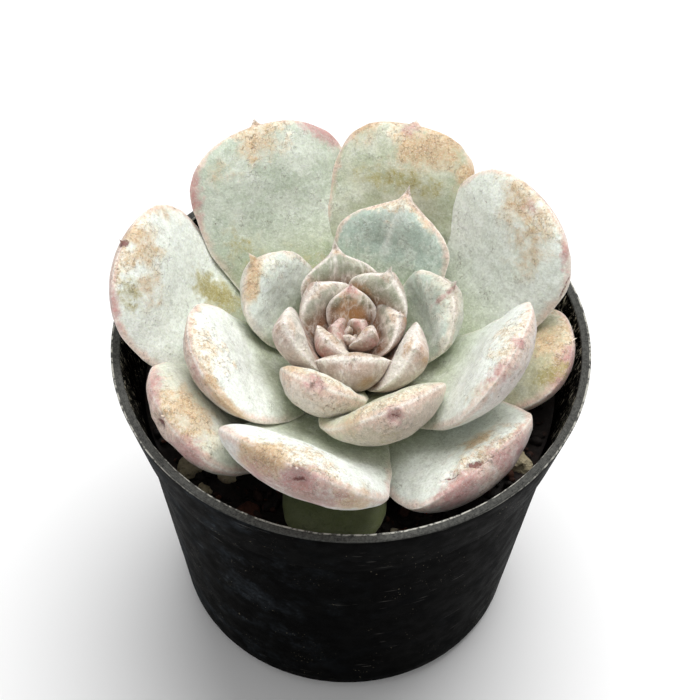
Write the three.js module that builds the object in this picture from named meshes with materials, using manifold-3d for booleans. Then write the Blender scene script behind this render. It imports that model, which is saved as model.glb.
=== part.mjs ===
// A potted lilith echeveria: one rosette of thick, blunt leaves on a short stem, standing in the gritty
// soil of a black plastic nursery pot. Millimetres, +Z up, the origin at the middle of the pot's underside.
// Seen from the front (the -Y side), azimuths turn anticlockwise from +X.

import * as THREE from 'three';
import { mergeVertices } from 'three/addons/utils/BufferGeometryUtils.js';
import Module from 'manifold-3d';

const wasm = await Module();
wasm.setup();

// The pot.
const POT_HEIGHT = 74;
const RIM_RADIUS = 45;
const LIP_WIDTH = 1.9;
const BAND_DEPTH = 14.2;
const BAND_FOOT_RADIUS = 42;
const BODY_TOP_RADIUS = 40.8;
const BODY_FOOT_RADIUS = 34.6;
const BASE_RADIUS = 33;
const WALL = 1.1;
const FOOT_LIFT = 1.8;
const FLOOR_THICKNESS = 1.4;
const POT_OUT_OF_ROUND = 0.3;
const POT_SIDES = 60;
const DRAIN_HOLE_RADIUS = 3.6;
const DRAIN_CIRCLE_RADIUS = 20;
const DRAIN_HOLES = 5;

// The soil and what lies in it.
const SOIL_TOP = 59.6;
const SOIL_LUMP = 0.8;
const CLEARANCE = 0.3;

// The stem, which is short and hidden under the leaves.
const STEM_RADIUS = 6;
const STEM_FOOT_RADIUS = 4.6;
const STEM_FOOT = 46;
const STEM_HOLE_DEPTH = 15;
const APEX_HEIGHT = POT_HEIGHT - 1.2;

// The leaves: each is older than the last by one, and stands a golden angle further round.
const GOLDEN_ANGLE = 137.5;
const FIRST_LEAF_AZIMUTH = 30;
const BUD_LEAVES = 3;
const HEART_LEAVES = 12;
const OLDEST_LEAF = 28;
const HEART_ROWS = 6;
const HEART_HALF_RING = 4;
const LEAF_ROWS = 9;
const LEAF_HALF_RING = 6;
const ROOT_DEPTH = 1.4;

// How leaves change with age: how far out and up the tips reach, how wide and thick the leaves are, how
// steeply they leave the stem and end (degrees above level), and the first and last leaf of each change.
const YOUNGEST_REACH = 3;
const REACH_GAIN = 41;
const FULL_REACH_AGE = 21;
const YOUNGEST_RISE = 4;
const HIGHEST_RISE = 15;
const HIGHEST_AGE = 18;
const YOUNGEST_WIDTH = 5;
const WIDTH_GAIN = 27;
const FULL_WIDTH_AGE = 20;
const YOUNGEST_THICKNESS = 3;
const THICKNESS_GAIN = 6.3;
const FULL_THICKNESS_AGE = 19;
const YOUNGEST_ROOT_TILT = 72;
const YOUNGEST_TILT = 82;
const FULL_TILT = 54;
const FULL_TILT_AGE = 16;
const SINKING_AGE = 24;
const SINKING_TILT = 12;
const LOWEST_TILT = 5;
const HIGHEST_ROOT_DROP = 1.5;
const LOWEST_ROOT_DROP = 11.5;
const MUCRO_LENGTH = 1.6;

// A leaf's form, as shares of its length, half width or thickness.
const ROOT_WIDTH_SHARE = 0.34;
const ROOT_THICKNESS_SHARE = 0.38;
const THICKEST_PLACE = 0.62;
const THICKNESS_ABOVE_MARGIN = 0.36;
const DISH_DEPTH = 0.55;
const DISH_FADE_START = 0.5;
const DISH_FADE_LENGTH = 0.38;
const OUTLINE_TAPER = 2.3;
const THICKNESS_TAPER = 2.4;
const MARGIN_SHARPNESS = 0.8;
const MUCRO_HALF_WIDTH = 0.85;

// How single leaves of this plant depart from the rule below: turned (degrees), reaching further out,
// rising higher, wider (mm), tilted up more and rolled about their length (degrees).
const DEPARTURES = new Map([
  [0, { turn: 5, reach: -0.5, rise: 0.5 }],
  [1, { turn: 7, reach: 0.5, rise: -1.2, width: 1 }],
  [2, { turn: 18, reach: 0.7, rise: 1, width: -1 }],
  [3, { turn: 10, reach: 1.9, rise: 1.1, width: 2 }],
  [4, { turn: 2, rise: -1.8, width: 2 }],
  [5, { turn: 12, reach: 1.3, rise: -1.2, width: 2, roll: 5 }],
  [6, { turn: 1, reach: 0.2, rise: 0.3, width: 2.5, roll: -3 }],
  [7, { reach: 1, rise: 0.8, width: 2.5 }],
  [8, { reach: -1.6, rise: 1.8, roll: 6 }],
  [9, { turn: 20, reach: -0.4, rise: 2.6, width: -1, roll: -13 }],
  [10, { reach: -2, rise: -2, roll: 18 }],
  [11, { turn: 1, reach: -3, rise: -0.6, width: -2, tilt: -8 }],
  [12, { turn: 10, reach: -1, rise: -0.8, width: -2, tilt: 3, roll: -4 }],
  [13, { reach: -3, rise: -2, width: -2, tilt: 4, roll: 5 }],
  [14, { turn: -3, reach: -3.5, rise: -1.5, width: -3.5, roll: -6 }],
  [15, { turn: -4, reach: -1.5, rise: -0.5, tilt: 6, roll: 10 }],
  [16, { rise: -2, width: -2 }],
  [17, { turn: -3, reach: -1.5, rise: -2.8, tilt: -8, roll: -7 }],
  [18, { turn: -8, reach: -3, rise: 2.4, tilt: 9 }],
  [19, { turn: -6, reach: 6.2, rise: 1.4, width: 4, tilt: -4, roll: 8 }],
  [20, { turn: -2, rise: 1, roll: -14 }],
  [21, { turn: -7, reach: -3.5, rise: 3, tilt: 6, roll: 9 }],
  [22, { turn: -7, rise: 1.5, width: 1, tilt: 4, roll: -7 }],
  [23, { turn: -2, reach: -4, rise: -9.5, tilt: 2, roll: 7 }],
  [24, { turn: -15, reach: 0.5, rise: 3.5, width: -0.5, tilt: -4, roll: -2 }],
  [25, { turn: -12, reach: -3.5, rise: -3, width: -1.5, roll: -7 }],
  [26, { turn: -5, reach: -2.5, rise: -6.2, width: -2.5, tilt: -4, roll: -7 }],
  [27, { reach: -8, rise: -8, width: -4, tilt: -14 }],
  [28, { turn: -14, reach: -3.6, rise: -12, width: -3 }],
]);

const LEAF_COLOUR = 0xbcc9b4;
const HEART_COLOUR = 0xb8a39c;
const POT_COLOUR = 0x151517;
const SOIL_COLOUR = 0x1c1613;
const PUMICE_COLOUR = 0xc9bfa9;
const BARK_COLOUR = 0x4a2f22;

const radians = THREE.MathUtils.degToRad;
const mix = THREE.MathUtils.lerp;
const smooth = (value) => THREE.MathUtils.smoothstep(value, 0, 1);

function closedSolid(geometry) {
  const bare = geometry.clone();
  bare.deleteAttribute('normal');
  bare.deleteAttribute('uv');
  const merged = mergeVertices(bare, 1e-4);
  const mesh = new wasm.Mesh({
    numProp: 3,
    vertProperties: new Float32Array(merged.attributes.position.array),
    triVerts: new Uint32Array(merged.index.array),
  });
  return new wasm.Manifold(mesh);
}

function geometryOf(solid) {
  const mesh = solid.getMesh();
  const geometry = new THREE.BufferGeometry();
  geometry.setAttribute('position', new THREE.BufferAttribute(new Float32Array(mesh.vertProperties), 3));
  geometry.setIndex(new THREE.BufferAttribute(new Uint32Array(mesh.triVerts), 1));
  geometry.computeVertexNormals();
  return geometry;
}

function largestBody(solid) {
  const bodies = solid.decompose();
  return bodies.reduce((best, body) => (body.volume() > best.volume() ? body : best));
}

function swollen(geometry, by) {
  const bare = geometry.clone();
  bare.deleteAttribute('normal');
  bare.deleteAttribute('uv');
  const grown = mergeVertices(bare, 1e-4);
  grown.computeVertexNormals();
  const place = grown.attributes.position;
  const normal = grown.attributes.normal;
  for (let i = 0; i < place.count; i += 1) {
    place.setXYZ(
      i,
      place.getX(i) + by * normal.getX(i),
      place.getY(i) + by * normal.getY(i),
      place.getZ(i) + by * normal.getZ(i),
    );
  }
  return grown;
}

function outOfRound(geometry) {
  const place = geometry.attributes.position;
  for (let i = 0; i < place.count; i += 1) {
    const x = place.getX(i);
    const y = place.getY(i);
    const radius = Math.hypot(x, y);
    if (radius > 1) {
      const squeeze = POT_OUT_OF_ROUND * (place.getZ(i) / POT_HEIGHT) ** 2;
      const scale = 1 + (squeeze * Math.cos(2 * Math.atan2(y, x))) / RIM_RADIUS;
      place.setXY(i, x * scale, y * scale);
    }
  }
  return geometry;
}

function lathe(profile, sides) {
  const points = profile.map(([radius, height]) => new THREE.Vector2(radius, height));
  const geometry = new THREE.LatheGeometry(points, sides);
  geometry.rotateX(Math.PI / 2);
  return geometry;
}

function innerRadius(height) {
  const bandFoot = POT_HEIGHT - BAND_DEPTH;
  if (height > bandFoot) {
    return mix(BAND_FOOT_RADIUS, RIM_RADIUS, (height - bandFoot) / BAND_DEPTH) - LIP_WIDTH;
  }
  return mix(BODY_FOOT_RADIUS, BODY_TOP_RADIUS, (height - 3) / (bandFoot - 3)) - WALL;
}

function pot() {
  const bandFoot = POT_HEIGHT - BAND_DEPTH;
  const floorTop = FOOT_LIFT + FLOOR_THICKNESS;
  const profile = [
    [0, FOOT_LIFT],
    [BASE_RADIUS - 3, FOOT_LIFT],
    [BASE_RADIUS - 2, 0],
    [BASE_RADIUS, 0],
    [BODY_FOOT_RADIUS, 3],
    [BODY_TOP_RADIUS, bandFoot - 0.9],
    [BAND_FOOT_RADIUS - 0.2, bandFoot - 0.5],
    [BAND_FOOT_RADIUS, bandFoot],
    [RIM_RADIUS - 0.1, POT_HEIGHT - 0.6],
    [RIM_RADIUS - 0.4, POT_HEIGHT],
    [RIM_RADIUS - LIP_WIDTH + 0.3, POT_HEIGHT],
    [RIM_RADIUS - LIP_WIDTH, POT_HEIGHT - 0.4],
    [innerRadius(bandFoot + 0.1), bandFoot + 0.1],
    [innerRadius(bandFoot - 1), bandFoot - 1],
    [innerRadius(floorTop + 1.2), floorTop + 1.2],
    [innerRadius(floorTop) - 1.4, floorTop],
    [0, floorTop],
  ];
  let shell = closedSolid(outOfRound(lathe(profile, POT_SIDES)));
  for (let i = 0; i < DRAIN_HOLES; i += 1) {
    const angle = (2 * Math.PI * i) / DRAIN_HOLES + 0.3;
    const drill = new THREE.CylinderGeometry(DRAIN_HOLE_RADIUS, DRAIN_HOLE_RADIUS, 8, 12);
    drill.rotateX(Math.PI / 2);
    drill.translate(DRAIN_CIRCLE_RADIUS * Math.cos(angle), DRAIN_CIRCLE_RADIUS * Math.sin(angle), floorTop);
    shell = shell.subtract(closedSolid(drill));
  }
  return shell;
}

function soilHeight(x, y) {
  const lumps = Math.sin(0.55 * x + 1.1) * Math.cos(0.48 * y - 0.4) + 0.6 * Math.sin(0.31 * (x - y) + 2);
  const reach = Math.hypot(x, y) / RIM_RADIUS;
  return SOIL_TOP + SOIL_LUMP * lumps * smooth(reach * 1.6) + 1.2 * reach * reach;
}

function soil() {
  const floor = FOOT_LIFT + FLOOR_THICKNESS + CLEARANCE;
  const rings = 6;
  const topRadius = innerRadius(SOIL_TOP + 1) - CLEARANCE - 0.5;
  const profile = [
    [0, floor],
    [innerRadius(floor) - 1.9, floor],
    [innerRadius(floor + 1.5) - CLEARANCE - 0.1, floor + 1.5],
    [innerRadius(POT_HEIGHT - BAND_DEPTH - 1.5) - CLEARANCE, POT_HEIGHT - BAND_DEPTH - 1.5],
  ];
  for (let i = 0; i <= rings; i += 1) {
    profile.push([topRadius * (1 - i / rings), SOIL_TOP]);
  }
  const geometry = outOfRound(lathe(profile, POT_SIDES / 2));
  const place = geometry.attributes.position;
  for (let i = 0; i < place.count; i += 1) {
    if (place.getZ(i) > SOIL_TOP - 0.01) {
      place.setZ(i, soilHeight(place.getX(i), place.getY(i)));
    }
  }
  return closedSolid(geometry);
}

function stemGeometry() {
  const profile = [
    [0, STEM_FOOT],
    [STEM_FOOT_RADIUS - 1, STEM_FOOT + 0.4],
    [STEM_FOOT_RADIUS, STEM_FOOT + 3],
    [STEM_FOOT_RADIUS + 0.2, SOIL_TOP - 1],
    [STEM_RADIUS, SOIL_TOP + 3],
    [STEM_RADIUS, APEX_HEIGHT - 6],
    [STEM_RADIUS * 0.62, APEX_HEIGHT - 3],
    [STEM_RADIUS * 0.22, APEX_HEIGHT - 0.6],
    [0, APEX_HEIGHT],
  ];
  return lathe(profile, 16);
}

function leafForm(age) {
  if (age < 0) {
    const step = -age;
    return {
      azimuth: FIRST_LEAF_AZIMUTH + GOLDEN_ANGLE * age,
      rootRadius: 0.3,
      rootHeight: POT_HEIGHT - 2,
      reach: 2.4 - 0.5 * step,
      height: POT_HEIGHT + 3.6 - 0.5 * step,
      rootTilt: 80,
      tilt: 85,
      width: 4.2 - 0.8 * step,
      thickness: 2.6 - 0.5 * step,
      bluntness: 0.62,
      widest: 0.6,
      cup: 0.1,
      roll: 0,
      mucro: 0.3,
    };
  }
  const departure = { turn: 0, reach: 0, rise: 0, width: 0, tilt: 0, roll: 0, ...DEPARTURES.get(age) };
  const upTo = (fullAge) => Math.min(age / fullAge, 1);
  const spent = Math.max(age - FULL_REACH_AGE, 0);
  const grown = smooth((age - 14.5) / 4.5);
  const rise = mix(YOUNGEST_RISE, HIGHEST_RISE, upTo(HIGHEST_AGE) ** 0.8) - 1.1 * spent ** 1.15;
  const sunk = age < SINKING_AGE ? 0 : SINKING_TILT;
  const tilt = mix(YOUNGEST_TILT, FULL_TILT, upTo(FULL_TILT_AGE)) - sunk;
  return {
    azimuth: FIRST_LEAF_AZIMUTH + GOLDEN_ANGLE * age + departure.turn,
    rootRadius: mix(0.6, STEM_RADIUS + CLEARANCE, upTo(HEART_LEAVES)),
    rootHeight: POT_HEIGHT - mix(HIGHEST_ROOT_DROP, LOWEST_ROOT_DROP, upTo(OLDEST_LEAF) ** 0.9),
    reach: YOUNGEST_REACH + REACH_GAIN * upTo(FULL_REACH_AGE) ** 1.5 + departure.reach,
    height: POT_HEIGHT + rise + departure.rise,
    rootTilt: mix(YOUNGEST_ROOT_TILT, 0, upTo(OLDEST_LEAF) ** 0.8),
    tilt: age === OLDEST_LEAF ? LOWEST_TILT : tilt + departure.tilt,
    width: YOUNGEST_WIDTH + WIDTH_GAIN * upTo(FULL_WIDTH_AGE) ** 1.25 - 0.9 * spent + departure.width,
    thickness: YOUNGEST_THICKNESS + THICKNESS_GAIN * upTo(FULL_THICKNESS_AGE) ** 0.8,
    bluntness: mix(0.67, 0.43, grown),
    widest: mix(0.56, 0.73, grown),
    cup: mix(0.6, 1.4, upTo(FULL_TILT_AGE)) - 1.2 * grown,
    roll: departure.roll,
    mucro: mix(0.45, MUCRO_LENGTH, upTo(HIGHEST_AGE)),
  };
}

// The midrib is a cubic curve in the leaf's own upright plane (x outwards, y up), which leaves the stem at
// the root's tilt and arrives at the tip's.
function midrib(form, rootRadius) {
  const root = new THREE.Vector2(rootRadius, form.rootHeight);
  const tip = new THREE.Vector2(form.reach, form.height);
  const away = new THREE.Vector2(Math.cos(radians(form.rootTilt)), Math.sin(radians(form.rootTilt)));
  const home = new THREE.Vector2(Math.cos(radians(form.tilt)), Math.sin(radians(form.tilt)));
  const chord = tip.clone().sub(root);
  const length = chord.length();
  const spread = away.x * home.y - away.y * home.x;
  const clamp = (value) => THREE.MathUtils.clamp(value, 0.15 * length, 0.85 * length);
  const first = clamp((chord.x * home.y - chord.y * home.x) / spread);
  const last = clamp((away.x * chord.y - away.y * chord.x) / spread);
  return new THREE.CubicBezierCurve(
    root,
    root.clone().addScaledVector(away, first),
    tip.clone().addScaledVector(home, -last),
    tip,
  );
}

// Half the leaf's width at a share s of its length, as a share of its greatest half width.
function outlineAt(s, form) {
  if (s < form.widest) {
    return mix(ROOT_WIDTH_SHARE, 1, Math.sin((s / form.widest) * (Math.PI / 2)));
  }
  const past = Math.min((s - form.widest) / (1 - form.widest), 1);
  return (1 - past ** OUTLINE_TAPER) ** form.bluntness;
}

// The leaf's thickness at a share s of its length, as a share of its greatest thickness.
function fullnessAt(s) {
  if (s < THICKEST_PLACE) {
    return mix(ROOT_THICKNESS_SHARE, 1, Math.sin((s / THICKEST_PLACE) * (Math.PI / 2)));
  }
  const past = Math.min((s - THICKEST_PLACE) / (1 - THICKEST_PLACE), 1);
  return Math.sqrt(1 - past ** THICKNESS_TAPER);
}

// The height of the skin over the margin's plane, as a share of the thickness, at a share of the half
// width. The upper face is dished towards the root and full near the tip.
function sectionAt(side, upper, s) {
  const rim = Math.max(0, 1 - side * side);
  if (!upper) {
    return (THICKNESS_ABOVE_MARGIN - 1) * rim ** MARGIN_SHARPNESS;
  }
  const dish = DISH_DEPTH * (1 - smooth((s - DISH_FADE_START) / DISH_FADE_LENGTH));
  return THICKNESS_ABOVE_MARGIN * (rim ** MARGIN_SHARPNESS - dish * rim ** 2);
}

// Places along the leaf for its rings, closer together towards the tip, then the small hard point.
function stationsFor(rows, point) {
  const stations = [];
  for (let i = 0; i < rows - 1; i += 1) {
    stations.push(1 - (1 - i / (rows - 1)) ** 1.8);
  }
  stations.push(0.996, 1 + 0.4 * point, 1 + point);
  return stations;
}

// One leaf as rings round its midrib, from the root to the small hard point (mucro) at its tip. The
// outline is broad and blunt, the section a lens with a fairly sharp margin, the upper face dished.
function leafGeometry(form, rows, halfRing, rootDepth) {
  const curve = midrib(form, Math.max(0.1, form.rootRadius - rootDepth));
  const length = curve.getLength();
  const halfWidth = form.width / 2;
  const point = form.mucro / length;
  const pointStart = 1 - 1.6 * point;
  const stations = stationsFor(rows, point);
  const chord = curve.v3.clone().sub(curve.v0).normalize();
  const across = new THREE.Vector2(-chord.y, chord.x);
  const azimuth = radians(form.azimuth);
  const ring = 2 * halfRing;
  const vertices = [];
  stations.forEach((s, row) => {
    const inside = Math.min(s, 1);
    const along = curve.getTangentAt(inside);
    const place = curve.getPointAt(inside).addScaledVector(along, Math.max(s - 1, 0) * length);
    const sharp = s > pointStart ? Math.max(0, (1 + point - s) / (1 + point - pointStart)) ** 1.1 : 0;
    const mucroHalf = MUCRO_HALF_WIDTH * form.mucro * sharp;
    const last = row === stations.length - 1;
    const half = last ? 0 : Math.cbrt((outlineAt(s, form) * halfWidth) ** 3 + mucroHalf ** 3);
    const thick = last ? 0 : Math.cbrt((fullnessAt(s) * form.thickness) ** 3 + (0.8 * mucroHalf) ** 3);
    const lean = radians(form.roll) * smooth(inside);
    for (let j = 0; j < ring; j += 1) {
      const turn = (Math.PI * j) / halfRing;
      const side = Math.sign(Math.cos(turn)) * Math.abs(Math.cos(turn)) ** 0.85;
      const lift = thick * sectionAt(side, j < halfRing, s) + form.cup * ((half / halfWidth) * side) ** 2;
      const x = place.x - along.y * lift - curve.v0.x;
      const z = place.y + along.x * lift - curve.v0.y;
      const forward = x * chord.x + z * chord.y;
      const up = x * across.x + z * across.y;
      const sideways = half * side * Math.cos(lean) - up * Math.sin(lean);
      const raised = half * side * Math.sin(lean) + up * Math.cos(lean);
      const radial = curve.v0.x + forward * chord.x + raised * across.x;
      vertices.push(
        radial * Math.cos(azimuth) - sideways * Math.sin(azimuth),
        radial * Math.sin(azimuth) + sideways * Math.cos(azimuth),
        curve.v0.y + forward * chord.y + raised * across.y,
      );
    }
  });
  return ringedGeometry(vertices, stations.length, ring);
}

// Joins rings of points into a closed skin: the last ring is a single point, the first a flat fan.
function ringedGeometry(vertices, rows, ring) {
  const index = [];
  for (let row = 0; row < rows - 1; row += 1) {
    for (let j = 0; j < ring; j += 1) {
      const a = row * ring + j;
      const b = row * ring + ((j + 1) % ring);
      index.push(a, b, b + ring);
      index.push(a, b + ring, a + ring);
    }
  }
  for (let j = 1; j < ring - 1; j += 1) {
    index.push(0, j + 1, j);
  }
  const geometry = new THREE.BufferGeometry();
  geometry.setAttribute('position', new THREE.Float32BufferAttribute(vertices, 3));
  geometry.setIndex(index);
  return geometry;
}

function randomFrom(seed) {
  let state = seed;
  return () => {
    state = (state * 16807) % 2147483647;
    return state / 2147483647;
  };
}

// A broken lump of pumice or bark: a coarse ball whose corners are pushed in and out, then flattened.
function chipGeometry(size, flatness, seed) {
  const draw = randomFrom(seed);
  const bare = new THREE.IcosahedronGeometry(1, 1);
  bare.deleteAttribute('normal');
  bare.deleteAttribute('uv');
  const lump = mergeVertices(bare, 1e-4);
  const place = lump.attributes.position;
  for (let i = 0; i < place.count; i += 1) {
    const bulge = (size / 2) * (0.8 + 0.35 * draw());
    place.setXYZ(i, place.getX(i) * bulge, 0.75 * place.getY(i) * bulge, flatness * place.getZ(i) * bulge);
  }
  return lump;
}

const CHIPS = [
  { name: 'pumice_chip_1', azimuth: 216, radius: 36.2, size: 6.4, flatness: 0.8, bark: false },
  { name: 'pumice_chip_2', azimuth: 225, radius: 37.6, size: 4.4, flatness: 0.8, bark: false },
  { name: 'pumice_chip_3', azimuth: 226, radius: 32.4, size: 4.2, flatness: 0.7, bark: false },
  { name: 'pumice_chip_4', azimuth: 331, radius: 36.6, size: 6, flatness: 0.8, bark: false },
  { name: 'pumice_chip_5', azimuth: 66, radius: 35.5, size: 4.8, flatness: 0.8, bark: false },
  { name: 'pumice_chip_6', azimuth: 128, radius: 34.5, size: 5.6, flatness: 0.7, bark: false },
  { name: 'bark_chip_1', azimuth: 240, radius: 36.2, size: 6.6, flatness: 0.4, bark: true },
  { name: 'bark_chip_2', azimuth: 287, radius: 36.8, size: 5.4, flatness: 0.45, bark: true },
  { name: 'bark_chip_3', azimuth: 12, radius: 35.6, size: 6, flatness: 0.4, bark: true },
];

const group = new THREE.Group();

function add(name, solid, colour, roughness) {
  const material = new THREE.MeshStandardMaterial({ color: colour, roughness, metalness: 0 });
  const mesh = new THREE.Mesh(geometryOf(solid), material);
  mesh.name = name;
  group.add(mesh);
}

add('pot', pot(), POT_COLOUR, 0.45);

// The stem and the young leaves that stand on its growing point are one body.
let heart = closedSolid(stemGeometry());
let heartSpace = closedSolid(swollen(stemGeometry(), CLEARANCE));
for (let age = -BUD_LEAVES; age < HEART_LEAVES; age += 1) {
  const leaf = leafGeometry(leafForm(age), HEART_ROWS, HEART_HALF_RING, ROOT_DEPTH);
  heart = heart.add(closedSolid(leaf));
  heartSpace = heartSpace.add(closedSolid(swollen(leaf, CLEARANCE)));
}
add('stem_and_heart', heart, HEART_COLOUR, 0.6);

// Every loose leaf gives way to the younger ones that it lies under, and to the heart.
const leafSpaces = [];
for (let age = HEART_LEAVES; age <= OLDEST_LEAF; age += 1) {
  const geometry = leafGeometry(leafForm(age), LEAF_ROWS, LEAF_HALF_RING, ROOT_DEPTH);
  let leaf = closedSolid(geometry).subtract(heartSpace);
  for (const space of leafSpaces) {
    leaf = leaf.subtract(space);
  }
  leafSpaces.push(closedSolid(swollen(geometry, CLEARANCE)));
  const number = String(age - HEART_LEAVES + 1).padStart(2, '0');
  add(`leaf_${number}`, largestBody(leaf), LEAF_COLOUR, 0.6);
}

// The soil is pressed away round the stem, the chips and the lowest leaves.
let bed = soil();
const stemHole = new THREE.CylinderGeometry(
  STEM_FOOT_RADIUS + 0.2 + CLEARANCE,
  STEM_FOOT_RADIUS + 0.2 + CLEARANCE,
  STEM_HOLE_DEPTH + 4,
  16,
);
stemHole.rotateX(Math.PI / 2);
stemHole.translate(0, 0, STEM_FOOT - CLEARANCE + (STEM_HOLE_DEPTH + 4) / 2);
bed = bed.subtract(closedSolid(stemHole));
for (const space of leafSpaces) {
  bed = bed.subtract(space);
}
CHIPS.forEach((chip, i) => {
  const angle = radians(chip.azimuth);
  const x = chip.radius * Math.cos(angle);
  const y = chip.radius * Math.sin(angle);
  const geometry = chipGeometry(chip.size, chip.flatness, 11 + 7 * i);
  geometry.rotateZ(angle + i);
  geometry.translate(x, y, soilHeight(x, y) + 0.1 * chip.size);
  bed = bed.subtract(closedSolid(swollen(geometry, CLEARANCE)));
  add(chip.name, closedSolid(geometry), chip.bark ? BARK_COLOUR : PUMICE_COLOUR, 0.9);
});
add('soil', largestBody(bed), SOIL_COLOUR, 0.95);

export default group;
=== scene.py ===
import math
import random

import bmesh
import bpy
import numpy as np
from mathutils import Matrix, Vector, noise


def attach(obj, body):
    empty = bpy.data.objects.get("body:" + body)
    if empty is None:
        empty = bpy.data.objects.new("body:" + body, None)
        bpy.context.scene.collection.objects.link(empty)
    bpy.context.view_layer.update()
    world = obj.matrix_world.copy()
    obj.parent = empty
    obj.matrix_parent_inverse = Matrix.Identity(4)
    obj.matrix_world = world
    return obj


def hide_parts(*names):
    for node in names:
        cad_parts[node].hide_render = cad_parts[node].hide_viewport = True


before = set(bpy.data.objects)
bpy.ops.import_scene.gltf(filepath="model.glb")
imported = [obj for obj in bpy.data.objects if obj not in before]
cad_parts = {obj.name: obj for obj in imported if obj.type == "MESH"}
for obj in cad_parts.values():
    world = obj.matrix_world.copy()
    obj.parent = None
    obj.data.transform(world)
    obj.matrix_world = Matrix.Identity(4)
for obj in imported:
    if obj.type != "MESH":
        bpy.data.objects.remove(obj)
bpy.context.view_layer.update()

# Pot: a round 9 cm nursery pot, injection moulded in thin black polypropylene, with a flared rim band, a
# tapered body, a foot ring and five drainage holes. Its flat lip is scuffed grey and has a little flash.
MM = 0.001
POT_HEIGHT = 74
RIM_RADIUS = 45
LIP_WIDTH = 1.9
BAND_DEPTH = 14.2
BAND_FOOT_RADIUS = 42
BODY_TOP_RADIUS = 40.8
BODY_FOOT_RADIUS = 34.6
BASE_RADIUS = 33
WALL = 1.1
FOOT_LIFT = 1.8
FLOOR_THICKNESS = 1.4
POT_OUT_OF_ROUND = 0.3
DRAIN_HOLE_RADIUS = 3.6
DRAIN_CIRCLE_RADIUS = 20
DRAIN_HOLES = 5
POT_SIDES = 288
LIP_NICKS = 46
BAND_FOOT = POT_HEIGHT - BAND_DEPTH
FLOOR_TOP = FOOT_LIFT + FLOOR_THICKNESS
SOIL_LINE = 60.5


def add_piece(name, vertices, faces, crease_degrees=None):
    """A mesh piece from points in millimetres, smooth shaded, with edges sharper than crease_degrees kept."""
    mesh = bpy.data.meshes.new(name)
    mesh.from_pydata((np.asarray(vertices, float) * MM).tolist(), [], faces)
    mesh.validate()
    mesh.polygons.foreach_set("use_smooth", [True] * len(mesh.polygons))
    if crease_degrees:
        mesh.set_sharp_from_angle(angle=math.radians(crease_degrees))
    mesh.update()
    piece = bpy.data.objects.new(name, mesh)
    bpy.context.scene.collection.objects.link(piece)
    return piece


def keep_values(piece, name, values):
    """Stores a number, or three, for each point of a piece, for its material to read."""
    values = np.asarray(values, np.float32)
    if values.ndim == 1:
        layer = piece.data.attributes.new(name, "FLOAT", "POINT")
        layer.data.foreach_set("value", values)
    else:
        layer = piece.data.attributes.new(name, "FLOAT_VECTOR", "POINT")
        layer.data.foreach_set("vector", values.ravel())


def ring_faces(rows, ring, first=0, closed_start=True, closed_end=True):
    """Quads between rings of points, and a fan or one flat face over each end."""
    faces = []
    for row in range(rows - 1):
        for j in range(ring):
            a = first + row * ring + j
            b = first + row * ring + (j + 1) % ring
            faces.append((a, b, b + ring, a + ring))
    if closed_start:
        faces.append(tuple(first + j for j in reversed(range(ring))))
    if closed_end:
        faces.append(tuple(first + (rows - 1) * ring + j for j in range(ring)))
    return faces


def finer(profile, step):
    """The same profile with points at most a step apart."""
    points = [profile[0]]
    for (r0, z0), (r1, z1) in zip(profile, profile[1:]):
        count = max(1, math.ceil(math.hypot(r1 - r0, z1 - z0) / step))
        for i in range(1, count + 1):
            points.append((r0 + (r1 - r0) * i / count, z0 + (z1 - z0) * i / count))
    return points


def inner_radius(height):
    """The pot wall's inner radius at a height."""
    if height > BAND_FOOT:
        flared = (RIM_RADIUS - BAND_FOOT_RADIUS) * (height - BAND_FOOT) / BAND_DEPTH
        return BAND_FOOT_RADIUS + flared - LIP_WIDTH
    share = (height - 3) / (BAND_FOOT - 3)
    return BODY_FOOT_RADIUS + (BODY_TOP_RADIUS - BODY_FOOT_RADIUS) * share - WALL


def rough(x, y, z, size, seed=0.0):
    """Smooth random bumps about a size across, from -1 to 1."""
    return noise.noise(Vector((x / size + seed, y / size - seed, z / size + 0.37 * seed)))


pot_profile = finer([
    (2, FOOT_LIFT), (BASE_RADIUS - 3, FOOT_LIFT), (BASE_RADIUS - 2.2, 0.35), (BASE_RADIUS - 1.7, 0),
    (BASE_RADIUS - 0.4, 0), (BASE_RADIUS, 0.25), (BODY_FOOT_RADIUS, 3), (BODY_TOP_RADIUS, BAND_FOOT - 1),
    (BODY_TOP_RADIUS + 0.25, BAND_FOOT - 0.65), (BAND_FOOT_RADIUS - 0.35, BAND_FOOT - 0.5),
    (BAND_FOOT_RADIUS - 0.08, BAND_FOOT - 0.35), (BAND_FOOT_RADIUS, BAND_FOOT),
    (RIM_RADIUS - 0.12, POT_HEIGHT - 0.45),
    (RIM_RADIUS - 0.14, POT_HEIGHT - 0.2), (RIM_RADIUS - 0.26, POT_HEIGHT - 0.05),
    (RIM_RADIUS - 0.4, POT_HEIGHT),
    (RIM_RADIUS - LIP_WIDTH + 0.3, POT_HEIGHT), (RIM_RADIUS - LIP_WIDTH + 0.12, POT_HEIGHT - 0.06),
    (RIM_RADIUS - LIP_WIDTH, POT_HEIGHT - 0.3), (inner_radius(BAND_FOOT + 0.1), BAND_FOOT + 0.1),
    (inner_radius(BAND_FOOT - 1), BAND_FOOT - 1), (inner_radius(FLOOR_TOP + 1.2), FLOOR_TOP + 1.2),
    (inner_radius(FLOOR_TOP) - 0.5, FLOOR_TOP + 0.3), (inner_radius(FLOOR_TOP) - 1.4, FLOOR_TOP),
    (2, FLOOR_TOP),
], 2.4)


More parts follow.
